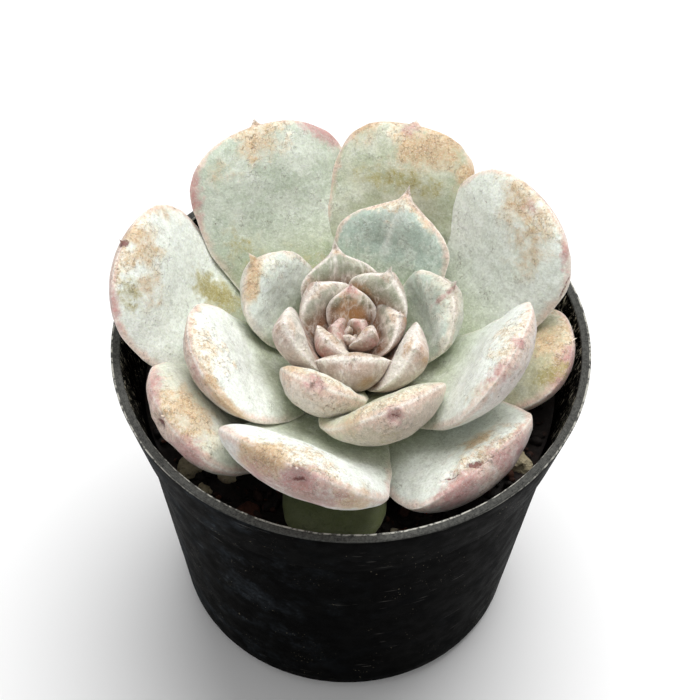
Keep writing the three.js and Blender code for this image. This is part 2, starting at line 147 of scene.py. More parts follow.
def turn_profile(profile, sides):
    """The profile turned about the pot's axis, squeezed a little out of round as the pot is."""
    angles = np.arange(sides) * 2 * np.pi / sides
    radius = np.array([r for r, z in profile])[:, None]
    height = np.array([z for r, z in profile])[:, None] + 0 * angles
    scale = 1 + POT_OUT_OF_ROUND * (height / POT_HEIGHT) ** 2 * np.cos(2 * angles) / RIM_RADIUS
    return np.stack([radius * scale * np.cos(angles), radius * scale * np.sin(angles), height], -1)


pot_points = turn_profile(pot_profile, POT_SIDES)
dice = random.Random(5)
nicks = [
    (dice.uniform(0, 2 * math.pi), dice.uniform(0.004, 0.02), dice.uniform(0.05, 0.22))
    for _ in range(LIP_NICKS)
]
for row, (r, z) in enumerate(pot_profile):
    lip = max(0.0, 1 - abs(z - POT_HEIGHT) / 0.5) if r > 42 else 0.0
    for j in range(POT_SIDES):
        x, y, h = pot_points[row, j]
        angle = 2 * math.pi * j / POT_SIDES
        wear = 0.06 * abs(rough(x, y, h, 1.3)) + 0.05 * abs(rough(x, y, h, 4, 3.0))
        edge = abs(r - (RIM_RADIUS - LIP_WIDTH / 2)) / (LIP_WIDTH / 2)
        for place, reach, depth in nicks:
            off = abs((angle - place + math.pi) % (2 * math.pi) - math.pi)
            if off < 3 * reach:
                wear += depth * edge * math.exp(-((off / reach) ** 2))
        pot_points[row, j, 2] -= lip * wear
        dent = 0.05 * abs(rough(x, y, h, 9, 7.0)) + 0.03 * abs(rough(x, y, 4 * h, 2.5, 1.0))
        pot_points[row, j, :2] *= 1 - dent / max(r, 8)

pot = add_piece("nursery_pot", pot_points.reshape(-1, 3), ring_faces(len(pot_profile), POT_SIDES), 32)

drill_mesh = bmesh.new()
for i in range(DRAIN_HOLES):
    angle = 2 * math.pi * i / DRAIN_HOLES + 0.3
    spot = Vector((DRAIN_CIRCLE_RADIUS * math.cos(angle), DRAIN_CIRCLE_RADIUS * math.sin(angle), FLOOR_TOP))
    bmesh.ops.create_cone(
        drill_mesh, cap_ends=True, segments=36, radius1=DRAIN_HOLE_RADIUS * MM,
        radius2=DRAIN_HOLE_RADIUS * MM,
        depth=8 * MM, matrix=Matrix.Translation(spot * MM),
    )
drill_data = bpy.data.meshes.new("drill")
drill_mesh.to_mesh(drill_data)
drill_mesh.free()
drill = bpy.data.objects.new("drill", drill_data)
bpy.context.scene.collection.objects.link(drill)
cut = pot.modifiers.new("drain_holes", "BOOLEAN")
cut.operation = "DIFFERENCE"
cut.solver = "EXACT"
cut.object = drill
bpy.context.view_layer.update()
drilled = bpy.data.meshes.new_from_object(pot.evaluated_get(bpy.context.evaluated_depsgraph_get()))
pot.modifiers.clear()
pot.data = drilled
bpy.data.objects.remove(drill)


def new_material(name):
    """An empty material: its tree and the shader that its surface goes through."""
    material = bpy.data.materials.new(name)
    material.use_nodes = True
    shader = material.node_tree.nodes["Principled BSDF"]
    return material, material.node_tree, shader


def wire(tree, kind, sockets=(), **settings):
    """A node with its settings, and its sockets set to a value or joined to another node's socket."""
    node = tree.nodes.new(kind)
    for key, value in settings.items():
        setattr(node, key, value)
    for socket, value in dict(sockets).items():
        if isinstance(value, bpy.types.NodeSocket):
            tree.links.new(value, node.inputs[socket])
        else:
            node.inputs[socket].default_value = value
    return node


def reading(tree, name, output="Vector"):
    """The values kept on the piece's points under a name."""
    node = wire(tree, "ShaderNodeAttribute", attribute_name=name)
    if output == "parts":
        split = wire(tree, "ShaderNodeSeparateXYZ", {0: node.outputs["Vector"]})
        return split.outputs[0], split.outputs[1], split.outputs[2]
    return node.outputs[output]


def millimetres(tree, stretch=(1, 1, 1)):
    """Places on the piece in millimetres, stretched along some axes."""
    place = wire(tree, "ShaderNodeTexCoord").outputs["Object"]
    scale = tuple(1000 * part for part in stretch)
    return wire(tree, "ShaderNodeVectorMath", {0: place, 1: scale}, operation="MULTIPLY").outputs[0]


def cloud(tree, place, size, detail=3.0, roughness=0.55, shift=0.0):
    """Random grey, 0 to 1, in spots about a size across."""
    sockets = {"Vector": place, "Scale": 1 / size, "Detail": detail, "Roughness": roughness, "W": shift}
    return wire(tree, "ShaderNodeTexNoise", sockets, noise_dimensions="4D").outputs["Fac"]


def spread(tree, value, low, high, to_low=0.0, to_high=1.0, smooth=True):
    """The value carried from one range to another, and held at its ends."""
    sockets = {"Value": value, "From Min": low, "From Max": high, "To Min": to_low, "To Max": to_high}
    kind = "SMOOTHSTEP" if smooth else "LINEAR"
    return wire(tree, "ShaderNodeMapRange", sockets, interpolation_type=kind).outputs[0]


def patches(tree, place, grains, low, high, to_low=0.0, to_high=1.0):
    """A cloud, given by its size, detail, roughness and shift, cut to patches with soft borders."""
    return spread(tree, cloud(tree, place, *grains), low, high, to_low, to_high)


def sum_of(tree, operation, a, b):
    """Two values joined by a sum of a named kind."""
    return wire(tree, "ShaderNodeMath", {0: a, 1: b}, operation=operation).outputs[0]


def times(tree, a, b):
    return sum_of(tree, "MULTIPLY", a, b)


def plus(tree, a, b):
    return sum_of(tree, "ADD", a, b)


def away_from(tree, value, middle):
    """How far a value is from a middle one, on either side."""
    return sum_of(tree, "ABSOLUTE", sum_of(tree, "SUBTRACT", value, middle), 0.0)


def paint(tree, share, under, over, way="MIX"):
    """One colour over another, by a share."""
    sockets = {0: share, 6: under, 7: over}
    return wire(tree, "ShaderNodeMix", sockets, data_type="RGBA", blend_type=way).outputs[2]


def relief(tree, shader, height, distance_mm, strength=1.0):
    """Fine relief, in the light only, from a height of 0 to 1."""
    sockets = {"Height": height, "Distance": distance_mm * MM, "Strength": strength}
    bump = wire(tree, "ShaderNodeBump", sockets)
    tree.links.new(bump.outputs[0], shader.inputs["Normal"])


def tone(red, green, blue):
    """A colour as a screen shows it, 0 to 255, for a shader."""
    parts = [part / 255 for part in (red, green, blue)]
    parts = [part / 12.92 if part <= 0.04045 else ((part + 0.055) / 1.055) ** 2.4 for part in parts]
    return (*parts, 1)


black_plastic, tree, shader = new_material("black_polypropylene")
place = millimetres(tree)
sideways, _, upright = wire(tree, "ShaderNodeSeparateXYZ", {0: place}).outputs[:3]
flat_place = wire(tree, "ShaderNodeVectorMath", {0: place, 1: (1, 1, 0)}, operation="MULTIPLY").outputs[0]
radius = wire(tree, "ShaderNodeVectorMath", {0: flat_place}, operation="LENGTH").outputs[1]
drawn = millimetres(tree, (1, 1, 0.07))
level = millimetres(tree, (0.12, 0.12, 2.4))
slant = wire(
    tree, "ShaderNodeMapping", {"Vector": place, "Rotation": (0.5, 0.3, 0.2), "Scale": (0.16, 0.16, 2.2)},
).outputs[0]
film = times(
    tree, patches(tree, place, (7, 7, 0.7, 2.0), 0.47, 0.66),
    patches(tree, place, (0.8, 5, 0.7, 3.0), 0.35, 0.62, 0.3, 1.0),
)
# Film and rubs lie mostly on the pot's left side: partly real dust, partly painted sheen standing in for
# grazing light on that side.
dust_and_sheen_side = spread(tree, sideways, 4, -26, 0.1, 1.0)
specks = times(
    tree, patches(tree, place, (0.5, 2, 0.6), 0.66, 0.70), patches(tree, place, (8, 4, 0.6), 0.52, 0.62),
)
rubs = times(tree, patches(tree, place, (1.6, 6, 0.72, 5.0), 0.5, 0.68), film)
level_marks = times(
    tree, patches(tree, level, (1.2, 3, 0.6, 9.0), 0.66, 0.74),
    patches(tree, place, (7, 3, 0.5, 8.0), 0.5, 0.66),
)
slant_marks = times(
    tree, patches(tree, slant, (1.1, 2, 0.5, 12.0), 0.66, 0.72),
    patches(tree, place, (10, 2, 0.5, 6.0), 0.5, 0.62),
)
colour = paint(tree, times(tree, times(tree, film, dust_and_sheen_side), 0.45), tone(3, 3, 3), tone(60, 66, 72))
colour = paint(tree, times(tree, times(tree, rubs, dust_and_sheen_side), 0.5), colour, tone(80, 86, 92))
colour = paint(tree, times(tree, level_marks, 0.2), colour, tone(92, 92, 90))
colour = paint(tree, times(tree, slant_marks, 0.6), colour, tone(104, 102, 98))
colour = paint(tree, times(tree, specks, 0.6), colour, tone(150, 142, 122))

# The inner wall is scraped by potting: pale streaks down from the lip, painted paler still as a highlight on
# the shaded wall, and crumbs that stuck to it.
flare = (RIM_RADIUS - BAND_FOOT_RADIUS) / BAND_DEPTH
from_axis = sum_of(tree, "SUBTRACT", radius, times(tree, upright, flare))
wall_middle = RIM_RADIUS - flare * POT_HEIGHT - LIP_WIDTH / 2
inner_wall = times(
    tree, spread(tree, from_axis, wall_middle + 0.3, wall_middle),
    spread(tree, upright, SOIL_LINE - 2, SOIL_LINE + 3),
)
# Pale streaks: real scrape marks, partly a painted highlight where the wall lies in shade.
scrapes_and_highlights = times(
    tree, patches(tree, drawn, (0.7, 4, 0.65, 14.0), 0.52, 0.62),
    patches(tree, place, (5, 3, 0.6, 15.0), 0.45, 0.58, 0.15, 1.0),
)
colour = paint(tree, times(tree, scrapes_and_highlights, inner_wall), colour, tone(206, 198, 176))
stuck = patches(tree, place, (0.6, 3, 0.7, 17.0), 0.62, 0.68)
colour = paint(tree, times(tree, stuck, inner_wall), colour, tone(244, 236, 212))

# The flat lip is cut and scuffed: dull grey, with fine lines round it and paler, ragged edges.
lip_top = times(
    tree, spread(tree, upright, POT_HEIGHT - 0.5, POT_HEIGHT - 0.2), spread(tree, radius, 42.9, 43.05),
)
lip_lines = cloud(tree, wire(tree, "ShaderNodeCombineXYZ", {0: radius}).outputs[0], 0.13, 4, 0.7, 4.0)
lip_grain = cloud(tree, place, 0.45, 6, 0.7, 4.0)
lip_tone = plus(tree, times(tree, lip_lines, 0.5), times(tree, lip_grain, 0.6))
lip_colour = paint(tree, spread(tree, lip_tone, 0.38, 0.72), tone(40, 40, 40), tone(96, 96, 92))
off_middle = away_from(tree, radius, RIM_RADIUS - LIP_WIDTH / 2)
ragged_edge = times(
    tree, spread(tree, off_middle, 0.62, 0.84), patches(tree, place, (1.2, 5, 0.7, 21.0), 0.42, 0.56),
)
lip_colour = paint(tree, times(tree, ragged_edge, 0.85), lip_colour, tone(200, 198, 188))
colour = paint(tree, lip_top, colour, lip_colour)
tree.links.new(colour, shader.inputs["Base Color"])
gloss = patches(tree, place, (3, 4, 0.6, 7.0), 0.3, 0.7, 0.4, 0.56)
tree.links.new(plus(tree, gloss, times(tree, plus(tree, film, lip_top), 0.15)), shader.inputs["Roughness"])
grain = plus(tree, times(tree, cloud(tree, place, 0.35, 3, 0.6, 1.0), 0.5), times(tree, slant_marks, -0.8))
grain = plus(tree, grain, times(tree, lip_tone, times(tree, lip_top, 1.5)))
relief(tree, shader, grain, 0.12, 0.5)
shader.inputs["Specular IOR Level"].default_value = 0.006
pot.data.materials.clear()
pot.data.materials.append(black_plastic)
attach(pot, "root")
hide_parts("pot")

# Soil: a damp, dark potting mix of composted bark and peat, poured in and pressed down round the stem, a
# finger's breadth below the lip. Crumbs of bark and a few pale specks of grit lie loose on it.
SOIL_TOP = 59.6
SOIL_LUMP = 0.8
CLEARANCE = 0.3
SOIL_SIDES = 150
SOIL_RINGS = 46
CRUMBS = 1500


def smooth(value):
    value = np.clip(value, 0, 1)
    return value * value * (3 - 2 * value)


def soil_height(x, y):
    """The soil's lumpy surface, higher towards the wall."""
    lumps = math.sin(0.55 * x + 1.1) * math.cos(0.48 * y - 0.4) + 0.6 * math.sin(0.31 * (x - y) + 2)
    reach = math.hypot(x, y) / RIM_RADIUS
    return SOIL_TOP + SOIL_LUMP * lumps * float(smooth(reach * 1.6)) + 1.2 * reach * reach


soil_radius = inner_radius(SOIL_TOP + 1) - CLEARANCE - 0.5
soil_floor = FLOOR_TOP + CLEARANCE
soil_profile = finer([
    (2, soil_floor), (inner_radius(soil_floor) - 1.9, soil_floor),
    (inner_radius(soil_floor + 1.5) - CLEARANCE - 0.1, soil_floor + 1.5),
    (inner_radius(BAND_FOOT - 1.5) - CLEARANCE, BAND_FOOT - 1.5),
], 6)
side_rows = len(soil_profile)
soil_profile += [(soil_radius * (1 - i / SOIL_RINGS) + 0.01, SOIL_TOP) for i in range(SOIL_RINGS + 1)]
soil_points = turn_profile(soil_profile, SOIL_SIDES)
for row in range(side_rows, len(soil_profile)):
    for j in range(SOIL_SIDES):
        x, y, h = soil_points[row, j]
        crumb = 0.75 * abs(rough(x, y, 0, 2.1, 2.0)) + 0.45 * abs(rough(x, y, 0, 0.9, 4.0))
        soil_points[row, j, 2] = soil_height(x, y) + crumb - 0.35
bed = add_piece("soil_bed", soil_points.reshape(-1, 3), ring_faces(len(soil_profile), SOIL_SIDES))

ball = bmesh.new()
bmesh.ops.create_icosphere(ball, subdivisions=2, radius=1)
ball_points = np.array([v.co for v in ball.verts])
ball_faces = [tuple(v.index for v in face.verts) for face in ball.faces]
ball.free()
dice = random.Random(21)
crumb_points = []
crumb_faces = []
crumb_tones = []
for i in range(CRUMBS):
    far = math.sqrt(dice.uniform(0.18, 1)) * (soil_radius - 0.9)
    angle = dice.uniform(0, 2 * math.pi)
    x, y = far * math.cos(angle), far * math.sin(angle)
    size = 0.35 + 1.1 * dice.random() ** 2.6
    flat = dice.uniform(0.35, 0.9)
    turned = Matrix.Rotation(
        dice.uniform(0, 6.3), 3,
        Vector((dice.gauss(0, 1), dice.gauss(0, 1), dice.gauss(0, 1.5))).normalized(),
    )
    stretch = np.array([1, dice.uniform(0.5, 0.95), flat])
    lump = ball_points * (
        size * (1 + 0.25 * np.array([rough(*p, 0.9, i * 1.7) for p in ball_points]))
    )[:, None]
    lump = (lump * stretch) @ np.array(turned).T + np.array([x, y, soil_height(x, y) + 0.25 + 0.25 * size])
    crumb_faces += [tuple(len(crumb_points) * len(ball_points) + a for a in face) for face in ball_faces]
    crumb_points.append(lump)
    kind = dice.random()
    crumb_tones += [(kind, dice.random(), 0)] * len(ball_points)
crumbs = add_piece("soil_crumbs", np.concatenate(crumb_points), crumb_faces, 50)
keep_values(crumbs, "kind", crumb_tones)


def soil_material(name, loose):
    material, tree, shader = new_material(name)
    place = millimetres(tree)
    colour = paint(tree, cloud(tree, place, 1.2, 6, 0.7), tone(12, 10, 9), tone(44, 34, 28))
    colour = paint(tree, patches(tree, place, (2.6, 4, 0.6, 3.0), 0.55, 0.75), colour, tone(58, 36, 28))
    if loose:
        kind, shade, _ = reading(tree, "kind", "parts")
        bark = paint(tree, shade, tone(34, 22, 18), tone(92, 54, 38))
        colour = paint(tree, spread(tree, kind, 0.55, 0.62), colour, bark)
        colour = paint(tree, spread(tree, kind, 0.972, 0.976), colour, tone(168, 156, 132))
    tree.links.new(colour, shader.inputs["Base Color"])
    damp = patches(tree, place, (4, 3, 0.6, 6.0), 0.35, 0.65, 0.62, 0.95)
    tree.links.new(damp, shader.inputs["Roughness"])
    relief(tree, shader, cloud(tree, place, 0.3, 5, 0.7, 8.0), 0.25, 0.9)
    return material


bed.data.materials.append(soil_material("damp_potting_mix", False))
crumbs.data.materials.append(soil_material("bark_crumbs", True))
for piece in (bed, crumbs):
    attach(piece, "root")
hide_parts("soil")

# Grit: six larger chips of cream pumice, porous and broken on all sides, and three flat chips of reddish
# bark. Each was mixed into the soil and lies half sunk in it.
PUMICE_CHIPS = 6
BARK_CHIPS = 3
CHIP_CUTS = 7


def broken_chip(name, node, push, size, layers):
    """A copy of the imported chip's form with its faces broken up finely."""
    form = bmesh.new()
    form.from_mesh(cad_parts[node].data)
    bmesh.ops.remove_doubles(form, verts=form.verts, dist=1e-5)
    bmesh.ops.triangulate(form, faces=form.faces)
    bmesh.ops.subdivide_edges(form, edges=form.edges, cuts=CHIP_CUTS, use_grid_fill=True)
    bmesh.ops.smooth_vert(
        form, verts=form.verts, factor=0.5, use_axis_x=True, use_axis_y=True, use_axis_z=True,
    )
    form.normal_update()
    points = np.array([v.co for v in form.verts]) / MM
    normals = np.array([v.normal for v in form.verts])
    faces = [tuple(v.index for v in face.verts) for face in form.faces]
    form.free()
    for i, (x, y, z) in enumerate(points):
        pits = abs(rough(x, y, z * layers, size, 2.0)) + 0.5 * abs(rough(x, y, z * layers, size / 2.4, 5.0))
        points[i] -= normals[i] * push * pits
    piece = add_piece(name, points, faces, 60)
    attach(piece, "root")
    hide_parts(node)
    return piece


pumice, tree, shader = new_material("cream_pumice")
place = millimetres(tree)
colour = paint(tree, cloud(tree, place, 0.9, 5, 0.65), tone(186, 168, 128), tone(240, 228, 196))
colour = paint(tree, patches(tree, place, (0.35, 4, 0.7, 3.0), 0.58, 0.7), colour, tone(96, 80, 62))
colour = paint(
    tree, patches(tree, place, (2.2, 2, 0.5, 6.0), 0.55, 0.75, 0, 0.6), colour, tone(120, 92, 66),
)
tree.links.new(colour, shader.inputs["Base Color"])
shader.inputs["Roughness"].default_value = 0.92
relief(tree, shader, cloud(tree, place, 0.3, 5, 0.7, 9.0), 0.3, 0.9)

bark, tree, shader = new_material("reddish_bark")
place = millimetres(tree)
layered = millimetres(tree, (1, 1, 5))
colour = paint(tree, cloud(tree, layered, 1.4, 5, 0.65), tone(40, 24, 20), tone(112, 62, 44))
colour = paint(tree, patches(tree, place, (0.5, 4, 0.7, 3.0), 0.56, 0.7), colour, tone(24, 16, 14))
tree.links.new(colour, shader.inputs["Base Color"])
shader.inputs["Roughness"].default_value = 0.85
relief(tree, shader, cloud(tree, layered, 0.5, 5, 0.7, 9.0), 0.3, 0.9)

for i in range(1, PUMICE_CHIPS + 1):
    chip = broken_chip(f"pumice_lump_{i}", f"pumice_chip_{i}", 0.32, 0.8, 1)
    chip.data.materials.append(pumice)
for i in range(1, BARK_CHIPS + 1):
    chip = broken_chip(f"bark_piece_{i}", f"bark_chip_{i}", 0.24, 1.1, 3)
    chip.data.materials.append(bark)

# Stem and heart: a short thick stem that ends in the growing point, with the fifteen youngest leaves still
# packed round it. They are one living body: dusky pink, folded by the leaves that pressed on them.
STEM_RADIUS = 6
STEM_FOOT_RADIUS = 4.6
STEM_FOOT = 46
APEX_HEIGHT = POT_HEIGHT - 1.2
GOLDEN_ANGLE = 137.5
FIRST_LEAF_AZIMUTH = 30
BUD_LEAVES = 3
HEART_LEAVES = 12
OLDEST_LEAF = 28
HEART_ROWS = 44
HEART_HALF_RING = 30
HEART_UNDULATION = 0.22
SEED_STEP = 3.1
STEM_SIDES = 48
ROOT_DEPTH = 1.4
MUCRO_LENGTH = 1.6

# How single leaves depart from the spiral's rule: turned, reaching out, rising, wider, tilted and rolled.
DEPARTURES = {
    0: dict(turn=5, reach=-0.5, rise=0.5), 1: dict(turn=7, reach=0.5, rise=-1.2, width=1),
    2: dict(turn=18, reach=0.7, rise=1, width=-1), 3: dict(turn=10, reach=1.9, rise=1.1, width=2),
    4: dict(turn=2, rise=-1.8, width=2), 5: dict(turn=12, reach=1.3, rise=-1.2, width=2, roll=5),
    6: dict(turn=1, reach=0.2, rise=0.3, width=2.5, roll=-3), 7: dict(reach=1, rise=0.8, width=2.5),
    8: dict(reach=-1.6, rise=1.8, roll=6), 9: dict(turn=20, reach=-0.4, rise=2.6, width=-1, roll=-13),
    10: dict(reach=-2, rise=-2, roll=18), 11: dict(turn=1, reach=-3, rise=-0.6, width=-2, tilt=-8),
    12: dict(turn=10, reach=-1, rise=-0.8, width=-2, tilt=3, roll=-4),
    13: dict(reach=-3, rise=-2, width=-2, tilt=4, roll=5),
    14: dict(turn=-3, reach=-3.5, rise=-1.5, width=-3.5, roll=-6),
    15: dict(turn=-4, reach=-1.5, rise=-0.5, tilt=6, roll=10), 16: dict(rise=-2, width=-2),
    17: dict(turn=-3, reach=-1.5, rise=-2.8, tilt=-8, roll=-7),
    18: dict(turn=-8, reach=-3, rise=2.4, tilt=9),
    19: dict(turn=-6, reach=6.2, rise=1.4, width=4, tilt=-4, roll=8), 20: dict(turn=-2, rise=1, roll=-14),
    21: dict(turn=-7, reach=-3.5, rise=3, tilt=6, roll=9),
    22: dict(turn=-7, rise=1.5, width=1, tilt=4, roll=-7),
    23: dict(turn=-2, reach=-4, rise=-9.5, tilt=2, roll=7),
    24: dict(turn=-15, reach=0.5, rise=3.5, width=-0.5, tilt=-4, roll=-2),
    25: dict(turn=-12, reach=-3.5, rise=-3, width=-1.5, roll=-7),
    26: dict(turn=-5, reach=-2.5, rise=-6.2, width=-2.5, tilt=-4, roll=-7),
    27: dict(reach=-8, rise=-8, width=-4, tilt=-14), 28: dict(turn=-14, reach=-3.6, rise=-12, width=-3),
}


def between(low, high, share):
    return low + (high - low) * share


def leaf_form(age):
    """Where a leaf of an age stands and how large it has grown, in millimetres and degrees."""
    if age < 0:
        step = -age
        return dict(
            azimuth=FIRST_LEAF_AZIMUTH + GOLDEN_ANGLE * age, root_radius=0.3, root_height=POT_HEIGHT - 2,
            reach=2.4 - 0.5 * step, height=POT_HEIGHT + 3.6 - 0.5 * step, root_tilt=80, tilt=85,
            width=4.2 - 0.8 * step, thickness=2.6 - 0.5 * step, bluntness=0.62, widest=0.6, cup=0.1, roll=0,
            mucro=0.3,
        )
    own = dict(turn=0, reach=0, rise=0, width=0, tilt=0, roll=0)
    own.update(DEPARTURES[age])
    spent = max(age - 21, 0)
    grown = float(smooth((age - 14.5) / 4.5))
    rise = between(4, 15, min(age / 18, 1) ** 0.8) - 1.1 * spent ** 1.15
    tilt = between(82, 54, min(age / 16, 1)) - (0 if age < 24 else 12)
    return dict(
        azimuth=FIRST_LEAF_AZIMUTH + GOLDEN_ANGLE * age + own["turn"],
        root_radius=between(0.6, STEM_RADIUS + CLEARANCE, min(age / HEART_LEAVES, 1)),
        root_height=POT_HEIGHT - between(1.5, 11.5, min(age / OLDEST_LEAF, 1) ** 0.9),
        reach=3 + 41 * min(age / 21, 1) ** 1.5 + own["reach"],
        height=POT_HEIGHT + rise + own["rise"],
        root_tilt=between(72, 0, min(age / OLDEST_LEAF, 1) ** 0.8),
        tilt=5 if age == OLDEST_LEAF else tilt + own["tilt"],
        width=5 + 27 * min(age / 20, 1) ** 1.25 - 0.9 * spent + own["width"],
        thickness=3 + 6.3 * min(age / 19, 1) ** 0.8,
        bluntness=between(0.67, 0.43, grown), widest=between(0.56, 0.73, grown),
        cup=between(0.6, 1.4, min(age / 16, 1)) - 1.2 * grown, roll=own["roll"],
        mucro=between(0.45, MUCRO_LENGTH, min(age / 18, 1)),
    )


def midrib(form):
    """Points along the leaf's middle line in its own upright plane, their directions and the run to each."""
    root = np.array([max(0.1, form["root_radius"] - ROOT_DEPTH), form["root_height"]])
    tip = np.array([form["reach"], form["height"]])
    lean = [math.radians(form["root_tilt"]), math.radians(form["tilt"])]
    away, home = (np.array([math.cos(a), math.sin(a)]) for a in lean)
    chord = tip - root
    length = float(np.hypot(*chord))
    gap = away[0] * home[1] - away[1] * home[0]
    first = np.clip((chord[0] * home[1] - chord[1] * home[0]) / gap, 0.15 * length, 0.85 * length)
    last = np.clip((away[0] * chord[1] - away[1] * chord[0]) / gap, 0.15 * length, 0.85 * length)
    knots = [root, root + away * first, tip - home * last, tip]
    t = np.linspace(0, 1, 401)[:, None]
    line = (1 - t) ** 3 * knots[0] + 3 * (1 - t) ** 2 * t * knots[1]
    line = line + 3 * (1 - t) * t * t * knots[2] + t ** 3 * knots[3]
    slope = 3 * (1 - t) ** 2 * (knots[1] - knots[0]) + 6 * (1 - t) * t * (knots[2] - knots[1])
    slope = slope + 3 * t * t * (knots[3] - knots[2])
    slope /= np.linalg.norm(slope, axis=1)[:, None]
    run = np.concatenate([[0], np.cumsum(np.hypot(*np.diff(line, axis=0).T))])
    return line, slope, run


def spot_on_leaf(place, length, half_width, along, side, on):
    """The row, and the place in its ring, nearest to a share along and across a leaf on one of its faces."""
    off = ((place[..., 0] - along) * length) ** 2 + ((place[..., 1] - side) * half_width) ** 2
    row, spot = np.unravel_index(np.argmin(off + 900 * (on * place[..., 2] < 0)), off.shape)
    return min(max(row, 2), len(place) - 9), spot


